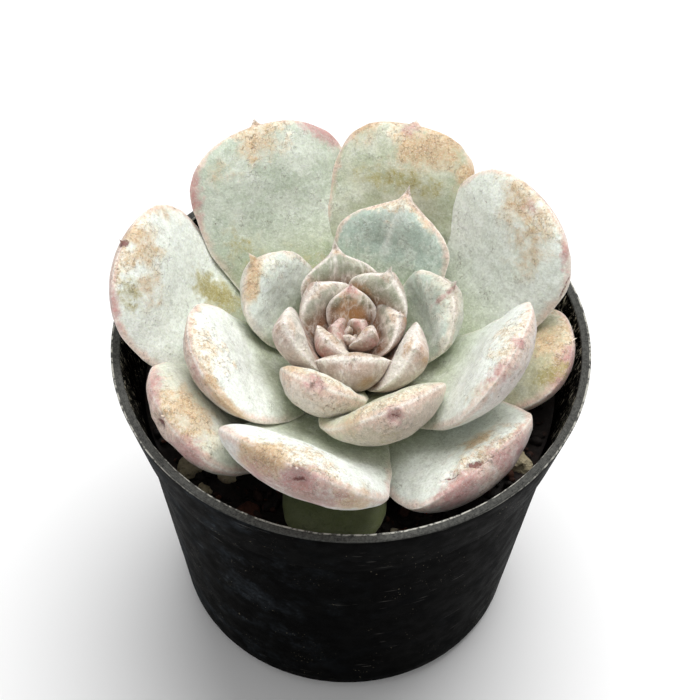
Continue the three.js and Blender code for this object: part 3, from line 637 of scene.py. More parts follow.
def grow_leaf(form, rows, half_ring, seed, undulation, looks):
    """One leaf as rings round its midrib, and what its skin has to know: where each point is on the leaf."""
    outward, upward = looks.get("pull", (0, 0))
    line, slope, run = midrib(dict(form, reach=form["reach"] + outward, height=form["height"] + upward))
    length = run[-1]
    half_width = form["width"] / 2 * looks.get("slim", 1)
    mucro = form["mucro"] * looks.get("mucro", 0.6)
    point = mucro / length
    u = np.linspace(0, 1, rows)
    s = np.concatenate([1 - (1 - u) ** 1.8, 1 + point * np.array([0.1, 0.22, 0.36, 0.52, 0.68, 0.84, 1])])
    inside = np.minimum(s, 1)
    middle = np.stack([np.interp(inside * length, run, line[:, k]) for k in range(2)], -1)
    along = np.stack([np.interp(inside * length, run, slope[:, k]) for k in range(2)], -1)
    middle = middle + along * (np.maximum(s - 1, 0) * length)[:, None]
    widest = form["widest"]
    apex_long, apex_half = looks.get("apex", (0, 0))
    shoulder = 1 - 0.55 * apex_long / length
    past = np.clip((s - widest) / (shoulder - widest), 0, 1)
    blunt = form["bluntness"] + looks.get("pointed", 0)
    outline = np.where(
        s < widest, between(0.34, 1, np.sin(np.minimum(s / widest, 1) * np.pi / 2)),
        (1 - past ** 2.3) ** blunt,
    )
    plump = looks.get("plump", 0.66)
    past = np.clip((s - plump) / (between(1, shoulder, 0.7) - plump), 0, 1)
    rise = between(0.38, 1, np.sin(np.minimum(s / 0.62, 1) * np.pi / 2))
    fullness = np.where(s < plump, rise, np.sqrt(1 - past ** 2.4))
    point_start = 1 - 1.6 * point
    sharp = np.where(s > point_start, np.maximum(0, (1 + point - s) / (1 + point - point_start)) ** 1.1, 0)
    point_half = 0.95 * mucro * sharp
    apex = np.clip((1 + point - s) / (apex_long / length + point + 1e-9), 0, 1)
    apex = np.where(
        s > 1 - apex_long / length, apex_half * apex ** 1.25, apex_half * np.clip(4 * s - 2, 0, 1),
    )
    half = np.cbrt((outline * half_width) ** 3 + point_half ** 3 + apex ** 3)
    thick = np.cbrt((fullness * form["thickness"]) ** 3 + (0.8 * point_half) ** 3 + (0.45 * apex) ** 3)
    half[-1] = 0
    thick[-1] = 0
    turn = np.pi * np.arange(2 * half_ring) / half_ring
    side = np.sign(np.cos(turn)) * np.abs(np.cos(turn)) ** 0.85
    upper = np.arange(2 * half_ring) < half_ring
    rim = np.maximum(0, 1 - side * side)[None, :]
    edge = looks.get("edge", 0.7)
    dish = 0.55 * (1 - smooth((s - 0.5) / 0.38))[:, None]
    belly = 0.64 * looks.get("belly", 1)
    pad = 0.36 + looks.get("puff", 0.04) * smooth((s - 0.5) / 0.35)[:, None]
    section = np.where(upper[None, :], pad * rim ** edge - 0.36 * dish * rim ** 2, -belly * rim ** edge)
    lift = thick[:, None] * section + form["cup"] * ((half / half_width)[:, None] * side[None, :]) ** 2
    fold_deep, fold_side = looks.get("fold", (0, 0))
    fold = np.exp(-((side - fold_side) / 0.16) ** 2)[None, :] * smooth((s - 0.35) / 0.3)[:, None]
    fold = fold * smooth((1 - s) * 12)[:, None]
    lift = lift - fold_deep * fold * upper[None, :]
    x = middle[:, 0, None] - along[:, 1, None] * lift - line[0, 0]
    z = middle[:, 1, None] + along[:, 0, None] * lift - line[0, 1]
    chord = line[-1] - line[0]
    chord = chord / np.hypot(*chord)
    forward = x * chord[0] + z * chord[1]
    up = -x * chord[1] + z * chord[0]
    lean = np.radians(form["roll"]) * smooth(inside)[:, None]
    across = half[:, None] * side[None, :]
    waves = looks.get("waves", 0.25)
    wander = np.array(
        [[waves * rough(9 * share, 3 * sign, seed, 1.4, seed) for sign in (-1, 1)] for share in s]
    )
    wander = np.where(
        side[None, :] > 0, wander[:, 1, None], wander[:, 0, None],
    ) * np.abs(side[None, :]) ** 2
    wander = wander * np.sign(side)[None, :] * smooth((s - 0.3) * 4)[:, None]
    across = across + wander * smooth((1 - s) * length / 2.5)[:, None]
    sideways = across * np.cos(lean) - up * np.sin(lean)
    raised = across * np.sin(lean) + up * np.cos(lean)
    radial = line[0, 0] + forward * chord[0] - raised * chord[1]
    height = line[0, 1] + forward * chord[1] + raised * chord[0]
    azimuth = math.radians(form["azimuth"])
    points = np.stack([
        radial * math.cos(azimuth) - sideways * math.sin(azimuth),
        radial * math.sin(azimuth) + sideways * math.cos(azimuth),
        height,
    ], -1)
    down = np.gradient(points, axis=0)
    round_ = np.roll(points, -1, axis=1) - np.roll(points, 1, axis=1)
    normal = np.cross(round_, down)
    normal /= np.maximum(np.linalg.norm(normal, axis=2), 1e-9)[..., None]
    calm = smooth((1 - s) * length / 3)[:, None] * smooth(s * 6)[:, None]
    size = 0.3 * form["width"]
    swell = np.array([
        [rough(*p, size, seed) + 0.35 * rough(*p, size / 3, seed + 4) for p in row] for row in points
    ])
    points = points - normal * (undulation * calm * np.abs(swell))[..., None]
    face = np.broadcast_to(np.sin(turn), across.shape)
    place = np.stack(
        [np.broadcast_to(s[:, None], across.shape), np.broadcast_to(side, across.shape), face], -1,
    )
    for part_along, part_side, on, reach, deep in looks.get("puckers", ()):
        row, spot = spot_on_leaf(place, length, half_width, part_along, part_side, on)
        far = np.linalg.norm(points - points[row, spot], axis=2) / reach
        creases = np.array([[rough(*p, 0.9 * reach, seed + 9) for p in line_of] for line_of in points])
        dent = np.exp(-far ** 2) - 0.35 * np.exp(
            -((far - 1.7) / 0.7) ** 2
        ) + 0.5 * creases * np.exp(-(far / 1.8) ** 2)
        points = points - normal * (deep * dent)[..., None]
    edge_mm = np.hypot(half[:, None] * (1 - np.abs(side)), thick[:, None] * np.abs(section))
    tip_mm = np.linalg.norm(points - points[-1, 0], axis=2)
    near = np.stack([edge_mm, tip_mm, across], -1)
    return dict(points=points.reshape(-1, 3), rows=len(s), ring=2 * half_ring, place=place.reshape(-1, 3),
                near=near.reshape(-1, 3), length=length, half_width=half_width)


def leaf_faces(leaf, first=0):
    """The leaf's skin: quads between its rings and a flat end inside the stem."""
    return ring_faces(leaf["rows"], leaf["ring"], first, True, False)


def skin_material(name, tones):
    """A leaf's skin: green flesh under a chalky bloom that is rubbed in places, blushed near the margins and
    the tip, with tan scuffs, specks and small dry scars."""
    material, tree, shader = new_material(name)
    tones = {word: tone(*value) if isinstance(value, tuple) else value for word, value in tones.items()}
    along, _, face = reading(tree, "place", "parts")
    edge_mm, tip_mm, across = reading(tree, "near", "parts")
    tan, rose, olive = reading(tree, "marks", "parts")
    blush, scar, shade = reading(tree, "tint", "parts")
    cool, warm, light = reading(tree, "cast", "parts")
    place = millimetres(tree)
    broad = cloud(tree, place, tones["patch"], 3, 0.55)
    mottle = cloud(tree, place, 1.7, 6, 0.68, 2.0)
    fine = cloud(tree, place, 0.42, 5, 0.72, 4.0)
    wisps = cloud(tree, place, 3.2, 6, 0.66, 6.0)
    under = spread(tree, face, 0.06, -0.12)
    near_tip = spread(tree, tip_mm, tones["tip_reach"], 1)
    unevenly = plus(
        tree, spread(tree, wisps, 0.3, 0.7, -0.5, 0.5, False),
        spread(tree, mottle, 0.3, 0.7, -0.25, 0.25, False),
    )

    colour = paint(
        tree, spread(tree, broad, tones["pale_from"], tones["pale_from"] + tones["pale_step"]),
        tones["flesh"], tones["pale"],
    )
    colour = paint(tree, cool, colour, tones["cool"])
    colour = paint(tree, warm, colour, tones["warm"])
    colour = paint(tree, light, colour, tones["light"])
    # Towards the root the colour turns to the root tone: painted shade where the leaves pack together, and on
    # full leaves partly the greener flesh of the leaf's foot.
    root_and_shade_side = plus(
        tree, spread(tree, along, tones["root_and_shade_reach"], tones["root_and_shade_reach"] - 0.44),
        times(tree, unevenly, 0.35),
    )
    colour = paint(
        tree, times(tree, spread(tree, root_and_shade_side, 0.2, 1.0), tones["root_and_shade_share"]), colour, tones["root"],
    )
    bloom = spread(tree, plus(tree, times(tree, mottle, 0.5), times(tree, wisps, 0.5)), 0.46, 0.58)
    colour = paint(tree, times(tree, bloom, tones["bloom_share"]), colour, tones["bloom"])

    # Towards the tip the bloom is rubbed to a cream patch with an uneven border, dusted with gold and brown.
    rim_side = spread(tree, edge_mm, 5, 0)
    cream = plus(
        tree, plus(tree, times(tree, near_tip, 0.75), times(tree, rim_side, 0.35)),
        times(tree, unevenly, 0.7),
    )
    cream = times(tree, spread(tree, cream, 0.42, 0.78), times(tree, blush, spread(tree, along, 0.4, 0.6)))
    colour = paint(tree, times(tree, cream, 0.75), colour, tones["cream"])
    dusted = cloud(tree, place, 0.75, 6, 0.75, 31.0)
    dusted = spread(tree, plus(tree, dusted, times(tree, cream, 0.10)), 0.56, 0.66)
    dust_share = times(tree, dusted, plus(tree, times(tree, cream, 0.55), 0.08))
    colour = paint(tree, dust_share, colour, tones["dust"])

    low_flush = plus(tree, times(tree, spread(tree, tip_mm, 26, 6), 0.62), times(tree, mottle, 0.7))
    low_flush = spread(tree, low_flush, 0.5, 0.95)
    low_flush = times(tree, times(tree, low_flush, under), blush)
    colour = paint(tree, times(tree, low_flush, 0.6), colour, tones["rose"])
    margin = plus(tree, spread(tree, edge_mm, tones["margin_reach"], 0), times(tree, unevenly, 0.6))
    margin = times(tree, spread(tree, margin, 0.3, 1.1), times(tree, blush, spread(tree, along, 0.3, 0.65)))
    colour = paint(tree, times(tree, margin, 0.75), colour, tones["margin"])
    crest = times(
        tree, spread(tree, edge_mm, tones["crest_reach"], 0), spread(tree, fine, 0.3, 0.6, 0.5, 1.0),
    )
    colour = paint(tree, times(tree, crest, 0.9), colour, tones["crest"])

    for weight, kind, ragged, washed, grained in (
        (tan, "tan", wisps, 0.75, 0.5), (rose, "rose", mottle, 0.7, 0.5),
        (olive, "olive", mottle, 0.8, 0.7),
    ):
        share = plus(tree, weight, spread(tree, ragged, 0.3, 0.7, -0.5, 0.5, False))
        share = times(tree, spread(tree, share, 0.15, 1.0), spread(tree, weight, 0.03, 0.4))
        colour = paint(tree, times(tree, share, washed), colour, tones[kind + "_wash"])
        grains = spread(tree, plus(tree, fine, times(tree, weight, 0.07)), 0.5, 0.62)
        colour = paint(
            tree, times(tree, times(tree, grains, share), grained), colour, tones[kind + "_mark"],
        )

    drift = wire(
        tree, "ShaderNodeVectorMath", {0: place, 1: (0.16, 0.16, 0.16)}, operation="MULTIPLY",
    ).outputs[0]
    length_wise = wire(tree, "ShaderNodeCombineXYZ", {0: across, 1: times(tree, tip_mm, 0.4)}).outputs[0]
    length_wise = wire(tree, "ShaderNodeVectorMath", {0: length_wise, 1: drift}, operation="ADD").outputs[0]
    veins = cloud(tree, length_wise, 1.7, 3, 0.5, 37.0)
    veins = away_from(tree, veins, 0.5)
    veins = plus(
        tree, times(tree, spread(tree, veins, 0.016, 0.004), 0.4),
        times(tree, spread(tree, veins, 0.08, 0.0), 0.6),
    )
    veins = times(tree, times(tree, veins, spread(tree, broad, 0.38, 0.55)), tones["vein_share"])
    colour = paint(tree, veins, colour, tones["crest"])
    grain = plus(tree, times(tree, fine, 0.6), times(tree, cloud(tree, place, 0.95, 5, 0.7, 27.0), 0.4))
    grey = paint(tree, spread(tree, grain, 0.41, 0.59), (0.76, 0.76, 0.74, 1), (1.0, 1.0, 1.0, 1))
    colour = paint(tree, 1.0, colour, grey, "MULTIPLY")
    specks = patches(tree, place, (0.5, 4, 0.75, 11.0), 0.58, 0.66)
    specks = times(tree, specks, spread(tree, plus(tree, near_tip, times(tree, wisps, 0.9)), 0.4, 1.2))
    colour = paint(tree, times(tree, specks, 0.6), colour, tones["speck"])
    frost = patches(tree, place, (0.3, 4, 0.75, 15.0), 0.54, 0.66)
    colour = paint(tree, times(tree, frost, 0.5), colour, tones["frost"])
    thread = cloud(tree, place, 1.5, 4, 0.6, 19.0)
    thread = spread(tree, away_from(tree, thread, 0.5), 0.012, 0.003)
    worn = spread(tree, plus(tree, wisps, times(tree, near_tip, 0.12)), 0.5, 0.62)
    thread = times(tree, thread, worn)
    colour = paint(tree, times(tree, thread, 0.55), colour, tones["nick"])
    nicks = times(
        tree, patches(tree, place, (0.8, 2, 0.5, 23.0), 0.68, 0.72), times(tree, worn, tones["nick_share"]),
    )
    colour = paint(tree, nicks, colour, tones["nick"])
    colour = paint(tree, shade, colour, paint(tree, mottle, tones["shade"], tones["shade_light"]))
    dry = spread(tree, times(tree, scar, spread(tree, fine, 0.3, 0.6, 0.4, 1.3)), 0.4, 0.8)
    colour = paint(tree, times(tree, dry, 0.9), colour, tones["scar"])
    tree.links.new(colour, shader.inputs["Base Color"])
    tree.links.new(spread(tree, mottle, 0.3, 0.7, 0.5, 0.68), shader.inputs["Roughness"])
    shader.inputs["Subsurface Weight"].default_value = 0.12
    shader.inputs["Subsurface Radius"].default_value = (0.8, 1.0, 0.5)
    shader.inputs["Subsurface Scale"].default_value = 0.0016
    shader.inputs["Sheen Weight"].default_value = 0.12
    shader.inputs["Sheen Roughness"].default_value = 0.5
    height = plus(tree, times(tree, fine, 0.35), plus(tree, mottle, times(tree, wisps, 1.6)))
    height = plus(
        tree, height, plus(tree, times(tree, plus(tree, dry, thread), -0.5), times(tree, veins, 0.5)),
    )
    relief(tree, shader, height, 0.3, 0.7)
    return material


def skin_marks(leaf, looks):
    """A leaf's own marks and cast. A mark fades from its middle, along and across the leaf."""
    rows, ring = leaf["rows"], leaf["ring"]
    points = leaf["points"].reshape(rows, ring, 3)
    place = leaf["place"].reshape(rows, ring, 3)
    # Marks of the kind shadow are painted shade, where other leaves shade this one. Together with the leaf's
    # own shade, they darken its colour towards the shade tones.
    kinds = {"tan": 0, "rose": 1, "olive": 2, "scar": 3, "shadow": 4, "pale": 5}
    weights = np.zeros((rows, ring, len(kinds)))
    marks = list(looks.get("marks", ())) + [("scar", *scar) for scar in looks.get("scars", ())]
    for kind, a, b, long, wide, on, strength in marks:
        row, spot = spot_on_leaf(place, leaf["length"], leaf["half_width"], a, b, on)
        forward = points[row + 2, spot] - points[row - 2, spot]
        forward /= np.linalg.norm(forward)
        across = points[row, (spot + 1) % ring] - points[row, spot - 1]
        across -= forward * (across @ forward)
        across /= np.linalg.norm(across)
        away = points - points[row, spot]
        off_a, off_b = away @ forward, away @ across
        rest = np.sqrt(np.maximum((away ** 2).sum(2) - off_a ** 2 - off_b ** 2, 0))
        weight = strength * np.exp(-(off_a / long) ** 2 - (off_b / wide) ** 2 - (rest / 3.5) ** 2)
        weights[..., kinds[kind]] = np.maximum(weights[..., kinds[kind]], weight)
    weights = weights.reshape(-1, len(kinds))
    shadow = np.maximum(weights[:, 4], looks.get("shade", 0.0))
    even = np.ones(len(weights))
    leaf["marks"] = weights[:, :3]
    leaf["tint"] = np.stack([looks.get("blush", 1.0) * even, weights[:, 3], shadow], -1)
    leaf["cast"] = np.stack([
        looks.get("cool", 0) * even, looks.get("warm", 0) * even,
        np.maximum(weights[:, 5], looks.get("light", 0)),
    ], -1)


# How each young leaf departs from a plain one. Its form: mucro (the tip point's share), apex (length and half
# width of its drawn-out tip), pointed (added to its bluntness), edge and plump (how round the margin is, and
# where it starts to thin), puff and belly (fullness of its faces), fold (depth, side), waves, slim, and pull
# (out, up). Its cast: blush, warm, cool, light and shade. Its marks: kind, share along and across, half
# length and half width in millimetres, face (1 upper, -1 under, 0 either) and strength. Scars are marks of
# one kind. Puckers, on full leaves: share along, share across, face, reach and depth.
HEART_LOOKS = {
    11: dict(apex=(4.8, 2.9), pointed=0.42, fold=(0.3, 0.1), cool=0.9, light=0.0, mucro=0.1, marks=[
        ("pale", 0.72, 0.12, 4, 0.35, 1, 0.9), ("pale", 0.62, -0.1, 1.2, 1.6, 1, 0.6),
        ("shadow", 0.62, 0.5, 2.4, 2.4, 1, 0.3)]),
    10: dict(mucro=0.15, light=0.75,
        marks=[("rose", 0.6, 0.2, 3, 3, -1, 0.5), ("tan", 0.9, 0.5, 2, 3, -1, 0.6)]),
    9: dict(mucro=0.15, light=0.55, marks=[("rose", 0.8, 0.3, 2, 2, -1, 0.6)]),
    8: dict(mucro=0.2, apex=(3.8, 2.2), cool=0.7, blush=0.7, marks=[
        ("tan", 0.6, 0.55, 3, 2.6, 1, 0.9), ("tan", 0.45, 0.1, 3, 4, 1, 0.7)]),
    7: dict(mucro=0.15, belly=1.3, pointed=-0.05, warm=0.4, marks=[
        ("tan", 0.8, 0.5, 2, 3, -1, 0.7), ("pale", 0.75, -0.1, 3, 0.3, -1, 0.9),
        ("pale", 0.9, -0.3, 0.5, 2, -1, 0.7),
        ("shadow", 0.8, 0.25, 2.4, 3.6, -1, 0.4)]),
    6: dict(cool=0.5, light=0.2, mucro=0.4, marks=[
        ("pale", 0.6, 0.1, 4.5, 0.3, 1, 0.9), ("pale", 0.6, -0.25, 4, 0.25, 1, 0.8),
        ("tan", 0.4, -0.3, 3, 2, 1, 0.6)]),
    5: dict(mucro=0.7, light=0.1, marks=[("tan", 0.9, 0.1, 1.4, 1.6, 0, 1.1)],
        scars=[(0.93, 0.0, 0.5, 0.35, 0, 0.7)]),
    4: dict(mucro=0.3, marks=[("rose", 0.8, 0, 2.4, 3, -1, 0.9)]),
    3: dict(mucro=0.8, marks=[("tan", 0.55, 0, 3.2, 2.6, 1, 1.3), ("rose", 0.95, 0, 1.6, 2.0, 0, 0.9)]),
    2: dict(mucro=0.3, marks=[("rose", 0.8, 0, 2.4, 3, -1, 0.8)]),
    1: dict(mucro=0.4, marks=[("rose", 0.8, 0, 2.4, 3, 0, 0.9)]),
    0: dict(mucro=0.5, marks=[("rose", 0.85, 0, 1.5, 2, 0, 1.0)]),
}
SKIN_VALUES = ("place", "near", "marks", "tint", "cast")
heart_parts = []
heart_faces = []
start = 0
for age in range(-BUD_LEAVES, HEART_LEAVES):
    own = dict(mucro=0.8, apex=(0.09 * (age + 8), 0.05 * (age + 8)), pointed=0.28, edge=0.78, waves=0.12)
    own.update(HEART_LOOKS.get(age, {}))
    leaf = grow_leaf(leaf_form(age), HEART_ROWS, HEART_HALF_RING, SEED_STEP * age, HEART_UNDULATION, own)
    heart_faces += leaf_faces(leaf, start)
    start += len(leaf["points"])
    skin_marks(leaf, own)
    heart_parts.append(leaf)
stem_profile = finer([
    (0.05, STEM_FOOT), (STEM_FOOT_RADIUS - 1, STEM_FOOT + 0.4), (STEM_FOOT_RADIUS, STEM_FOOT + 3),
    (STEM_FOOT_RADIUS + 0.2, SOIL_TOP - 1), (STEM_RADIUS, SOIL_TOP + 3), (STEM_RADIUS, APEX_HEIGHT - 6),
    (STEM_RADIUS * 0.62, APEX_HEIGHT - 3), (STEM_RADIUS * 0.22, APEX_HEIGHT - 0.6), (0.05, APEX_HEIGHT),
], 0.8)
stem_points = turn_profile(stem_profile, STEM_SIDES).reshape(-1, 3)
heart_faces += ring_faces(len(stem_profile), STEM_SIDES, start)
calm_row = np.tile([0.1, 0, 0], (len(stem_points), 1))
heart = add_piece(
    "stem_and_young_leaves", np.concatenate([p["points"] for p in heart_parts] + [stem_points]),
    heart_faces,
)
on_stem = {
    "place": calm_row, "near": calm_row + 20, "marks": calm_row * 0, "tint": calm_row * 0,
    "cast": calm_row * 0,
}
for word in SKIN_VALUES:
    keep_values(heart, word, np.concatenate([part[word] for part in heart_parts] + [on_stem[word]]))
# The young leaves' root tone is painted shade: a warm brown where the packed leaves meet, standing in for the
# shade of the crevices and the light that passes through their flesh.
heart.data.materials.append(skin_material("young_leaf_skin", {
    "patch": 2.8, "pale_from": 0.42, "pale_step": 0.14, "tip_reach": 5, "root_and_shade_reach": 0.9,
    "root_and_shade_share": 0.95,
    "crest_reach": 1.3, "margin_reach": 1.6, "vein_share": 0.55, "bloom_share": 0.35, "nick_share": 0.3,
    "flesh": (140, 136, 112), "pale": (218, 206, 190), "root": (138, 88, 48), "shade": (120, 110, 96),
    "shade_light": (140, 130, 110), "cool": (166, 172, 150), "warm": (192, 158, 134),
    "light": (238, 232, 224), "bloom": (214, 208, 196), "cream": (226, 206, 190),
    "dust": (190, 150, 104), "rose": (206, 178, 168), "margin": (228, 202, 192),
    "crest": (255, 250, 242), "tan_wash": (206, 158, 100), "tan_mark": (166, 110, 60),
    "rose_wash": (216, 164, 160), "rose_mark": (190, 116, 112), "olive_wash": (170, 160, 112),
    "olive_mark": (140, 130, 86), "speck": (150, 112, 84), "nick": (130, 92, 66),
    "frost": (240, 234, 226), "scar": (126, 78, 62),
}))
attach(heart, "root")
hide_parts("stem_and_heart")

# Full leaves: seventeen thick, blunt leaves, each of which grew as its own piece from the stem. Pale grey
# green flesh under a chalky bloom, peach margins, and scuffs and dry specks near the tips.
LEAF_ROWS = 84
LEAF_HALF_RING = 46
LEAF_UNDULATION = 0.45

# The full leaves' root tone is their greener flesh near the foot, partly painted shade there.
leaf_skin = skin_material("full_leaf_skin", {
    "patch": 7, "pale_from": 0.38, "pale_step": 0.22, "tip_reach": 16, "root_and_shade_reach": 0.76,
    "root_and_shade_share": 0.75,
    "crest_reach": 0.7, "margin_reach": 3.4, "vein_share": 0.0, "bloom_share": 0.4, "nick_share": 0.6,
    "flesh": (182, 195, 168), "pale": (218, 224, 206), "root": (150, 162, 116), "shade": (66, 74, 26),
    "shade_light": (98, 106, 50), "cool": (180, 198, 186), "warm": (206, 198, 164),
    "light": (248, 253, 246), "bloom": (238, 244, 234), "cream": (250, 238, 216),
    "dust": (202, 166, 116), "rose": (220, 194, 188), "margin": (242, 208, 192),
    "crest": (252, 244, 234), "tan_wash": (228, 202, 158), "tan_mark": (170, 116, 74),
    "rose_wash": (206, 162, 160), "rose_mark": (180, 110, 108), "olive_wash": (186, 174, 112),
    "olive_mark": (144, 130, 54), "speck": (146, 116, 88), "nick": (104, 84, 64),
    "frost": (244, 244, 238), "scar": (120, 66, 60),
})
# How each full leaf departs from a plain one, in the same words as for the young leaves.
LEAF_LOOKS = {
    12: dict(mucro=0.4, light=0.6, apex=(1.6, 1.2), edge=0.58, plump=0.7, puff=0.08, blush=0.9, warm=0.45,
        marks=[
        ("rose", 1.0, -0.3, 2.2, 3, -1, 0.8), ("tan", 0.8, -0.8, 4, 2, 0, 0.5)],
        puckers=[(0.99, -0.3, -1, 1.1, 0.5)]),
    13: dict(mucro=0.5, light=0.2, apex=(3.4, 2.2), pointed=-0.02, edge=0.66, blush=0.4, cool=0.7, marks=[
        ("rose", 0.93, -0.74, 5, 0.6, 1, 1.0), ("pale", 0.75, 0.1, 2.5, 4, 1, 0.5),
        ("pale", 0.7, -0.6, 6, 1.2, 1, 0.7),
        ("shadow", 0.85, 0.2, 2.5, 2.5, 1, 0.2)]),
    14: dict(mucro=0.6, light=0.6, apex=(3.4, 2.1), pointed=-0.08, edge=0.66, blush=0.5, cool=0.8, marks=[
        ("tan", 0.9, 0.8, 5.5, 1.5, 1, 1.3), ("pale", 0.9, 0.1, 3, 4, 1, 0.6)]),
    15: dict(mucro=0.4, light=0.0, edge=0.6, plump=0.7, puff=0.08, blush=0.9, warm=0.5, marks=[
        ("rose", 0.99, -0.5, 1.8, 2.2, -1, 1.0), ("tan", 0.85, -0.95, 3, 3, 0, 0.7),
        ("olive", 0.85, -0.3, 4, 5, -1, 0.4)],
        scars=[(0.99, -0.5, 0.35, 1.1, -1, 0.8)], puckers=[(0.985, -0.5, -1, 1.1, 0.6)]),
    16: dict(mucro=0.2, apex=(4.8, 2.5), pointed=0.5, edge=0.72, blush=1.0, cool=0.95, fold=(0.4, 0.1),
        marks=[
        ("tan", 0.85, -0.8, 5, 1.2, 1, 0.4), ("pale", 0.72, 0.1, 8, 0.4, 1, 0.9),
        ("pale", 0.85, 0.1, 4, 3, 1, 0.5)]),
    17: dict(mucro=0.4, light=1.0, edge=0.7, blush=1.0, marks=[
        ("tan", 0.95, 0.9, 2.5, 1.2, 0, 1.0), ("tan", 0.86, 0.98, 5, 1.3, 0, 1.1),
        ("rose", 0.97, 0.6, 3, 2, 0, 0.6)],
        scars=[(1.0, -0.2, 0.8, 1.2, 0, 0.5)]),
    18: dict(mucro=0.4, light=1.0, edge=0.74, blush=0.85, marks=[
        ("rose", 0.95, -0.85, 5, 2.0, 0, 0.8), ("tan", 0.88, -0.85, 6, 1.8, 0, 0.6),
        ("rose", 1.0, -0.5, 1.6, 1.6, 0, 1.0)]),
    19: dict(mucro=0.6, apex=(1.0, 1.6), edge=0.72, blush=1.0, cool=0.15, light=0.2, marks=[
        ("tan", 0.93, 0.1, 4.5, 6, 1, 0.75), ("rose", 0.9, -0.95, 6, 3, 1, 1.1),
        ("rose", 0.8, 0.97, 9, 2.0, 1, 0.9),
        ("olive", 0.5, 0.65, 8, 5, 1, 0.45), ("olive", 0.36, 0.1, 7, 9, 1, 0.5),
        ("shadow", 0.45, 0.4, 10, 10, 1, 0.2),
        ("tan", 0.85, 0.6, 4, 5, 1, 0.5)],
        scars=[(0.82, 0.1, 0.7, 0.35, 1, 0.6), (0.81, -0.26, 0.5, 0.4, 1, 0.5)]),
    20: dict(mucro=0.5, light=1.0, edge=0.58, plump=0.72, puff=0.12, blush=1.0, marks=[
        ("tan", 0.97, -0.7, 5, 3.4, 0, 1.7), ("rose", 0.98, 0.2, 2.6, 4, -1, 1.5),
        ("tan", 0.9, 0.8, 5, 3.5, -1, 1.1),
        ("rose", 0.93, 0.3, 5, 8, -1, 1.0), ("rose", 0.9, -0.4, 5, 5, -1, 0.8),
        ("shadow", 0.93, 0.3, 2.5, 7, -1, 0.3)],
        scars=[(0.985, 0.2, 0.7, 1.8, -1, 0.8)], puckers=[(0.985, 0.2, -1, 1.8, 1.0)]),
    21: dict(mucro=0.3, light=0.8, edge=0.72, blush=0.9, waves=0.5, marks=[
        ("tan", 0.92, 0.2, 5, 7, 1, 0.8), ("rose", 0.96, 0.05, 1.8, 2.2, 1, 0.6),
        ("tan", 0.84, -0.35, 6, 6, 1, 0.7),
        ("rose", 0.93, -0.93, 6, 1.2, 1, 0.7), ("pale", 0.72, 0.45, 9, 5, 1, 0.9),
        ("pale", 0.5, 0.0, 9, 9, 1, 0.7)],
        scars=[(0.82, -0.97, 5, 0.3, 1, 0.7), (0.83, 0.52, 0.3, 1.6, 1, 0.6)]),
    22: dict(mucro=0.8, light=0.9, edge=0.72, blush=1.0, pull=(-0.4, 0), marks=[
        ("tan", 0.95, -0.15, 4.5, 5, 1, 0.9), ("tan", 0.88, -0.8, 4, 3.4, 1, 0.6),
        ("tan", 0.84, 0.3, 5, 4, 1, 0.6), ("olive", 0.52, -0.33, 6, 3.2, 1, 1.2),
        ("olive", 0.9, 0.62, 4, 3, 1, 0.6), ("rose", 0.93, 0.97, 9, 1.2, 0, 0.8)],
        scars=[(1.03, 0, 1.1, 0.9, 0, 1.3)]),
    23: dict(mucro=0.4, light=0.9, edge=0.68, plump=0.68, pointed=-0.1, pull=(-1.4, 1.2), belly=1.1,
        blush=1.0, marks=[
        ("rose", 0.97, -0.8, 7, 4, -1, 1.1), ("tan", 0.85, 0.2, 3.5, 8, 1, 0.6),
        ("rose", 0.98, 0.3, 6, 4, -1, 0.8), ("rose", 0.96, 0.6, 4, 4, -1, 0.8)],
        scars=[(0.985, -0.3, 1.8, 0.8, 0, 1.1), (0.95, -0.6, 2.6, 0.35, 0, 0.8)],
        puckers=[(0.985, -0.3, 0, 1.6, 0.8), (0.95, -0.6, 0, 1.4, 0.5)]),
    24: dict(mucro=0.35, apex=(1.2, 2.2), pointed=-0.1, edge=0.68, blush=1.1, warm=0.25, waves=0.7, marks=[
        ("tan", 0.9, -0.4, 5, 9, 1, 1.1), ("olive", 0.74, 0.0, 3, 13, 1, 0.7),
        ("shadow", 0.5, -0.1, 10, 12, 1, 0.35), ("shadow", 0.62, -0.55, 7, 8, 1, 0.45),
        ("rose", 0.97, 0.05, 2.0, 3, 1, 0.8), ("tan", 0.92, 0.8, 4, 4, 1, 0.6),
        ("tan", 0.82, -0.9, 5, 3, 1, 0.9)]),
    25: dict(mucro=0.4, light=0.35, edge=0.56, plump=0.72, puff=0.1, blush=1.1, warm=0.4, marks=[
        ("tan", 0.93, 0.1, 6, 8, 1, 0.95), ("rose", 0.95, 0.85, 5, 4, 0, 0.9),
        ("rose", 0.96, -0.9, 5, 2, 0, 0.9),
        ("pale", 0.8, 0.3, 5, 3, 1, 0.8)],
        scars=[(0.985, 0, 0.8, 1.4, -1, 1.1)], puckers=[(0.985, 0, -1, 1.6, 0.9)]),
    26: dict(mucro=0.6, edge=0.66, blush=1.2, warm=0.7, marks=[
        ("tan", 0.9, 0, 5, 6, 1, 0.9), ("rose", 0.96, -0.9, 6, 2.6, 0, 1.3),
        ("olive", 0.9, -0.7, 4, 3, 1, 0.9)]),
    27: dict(shade=0.4, blush=0.6, edge=0.7),
    28: dict(shade=0.92, blush=0.05, edge=0.7, mucro=0.3, slim=0.84, pointed=-0.14,
        marks=[("shadow", 0.6, -0.5, 14, 5, 1, 1.0)]),
}
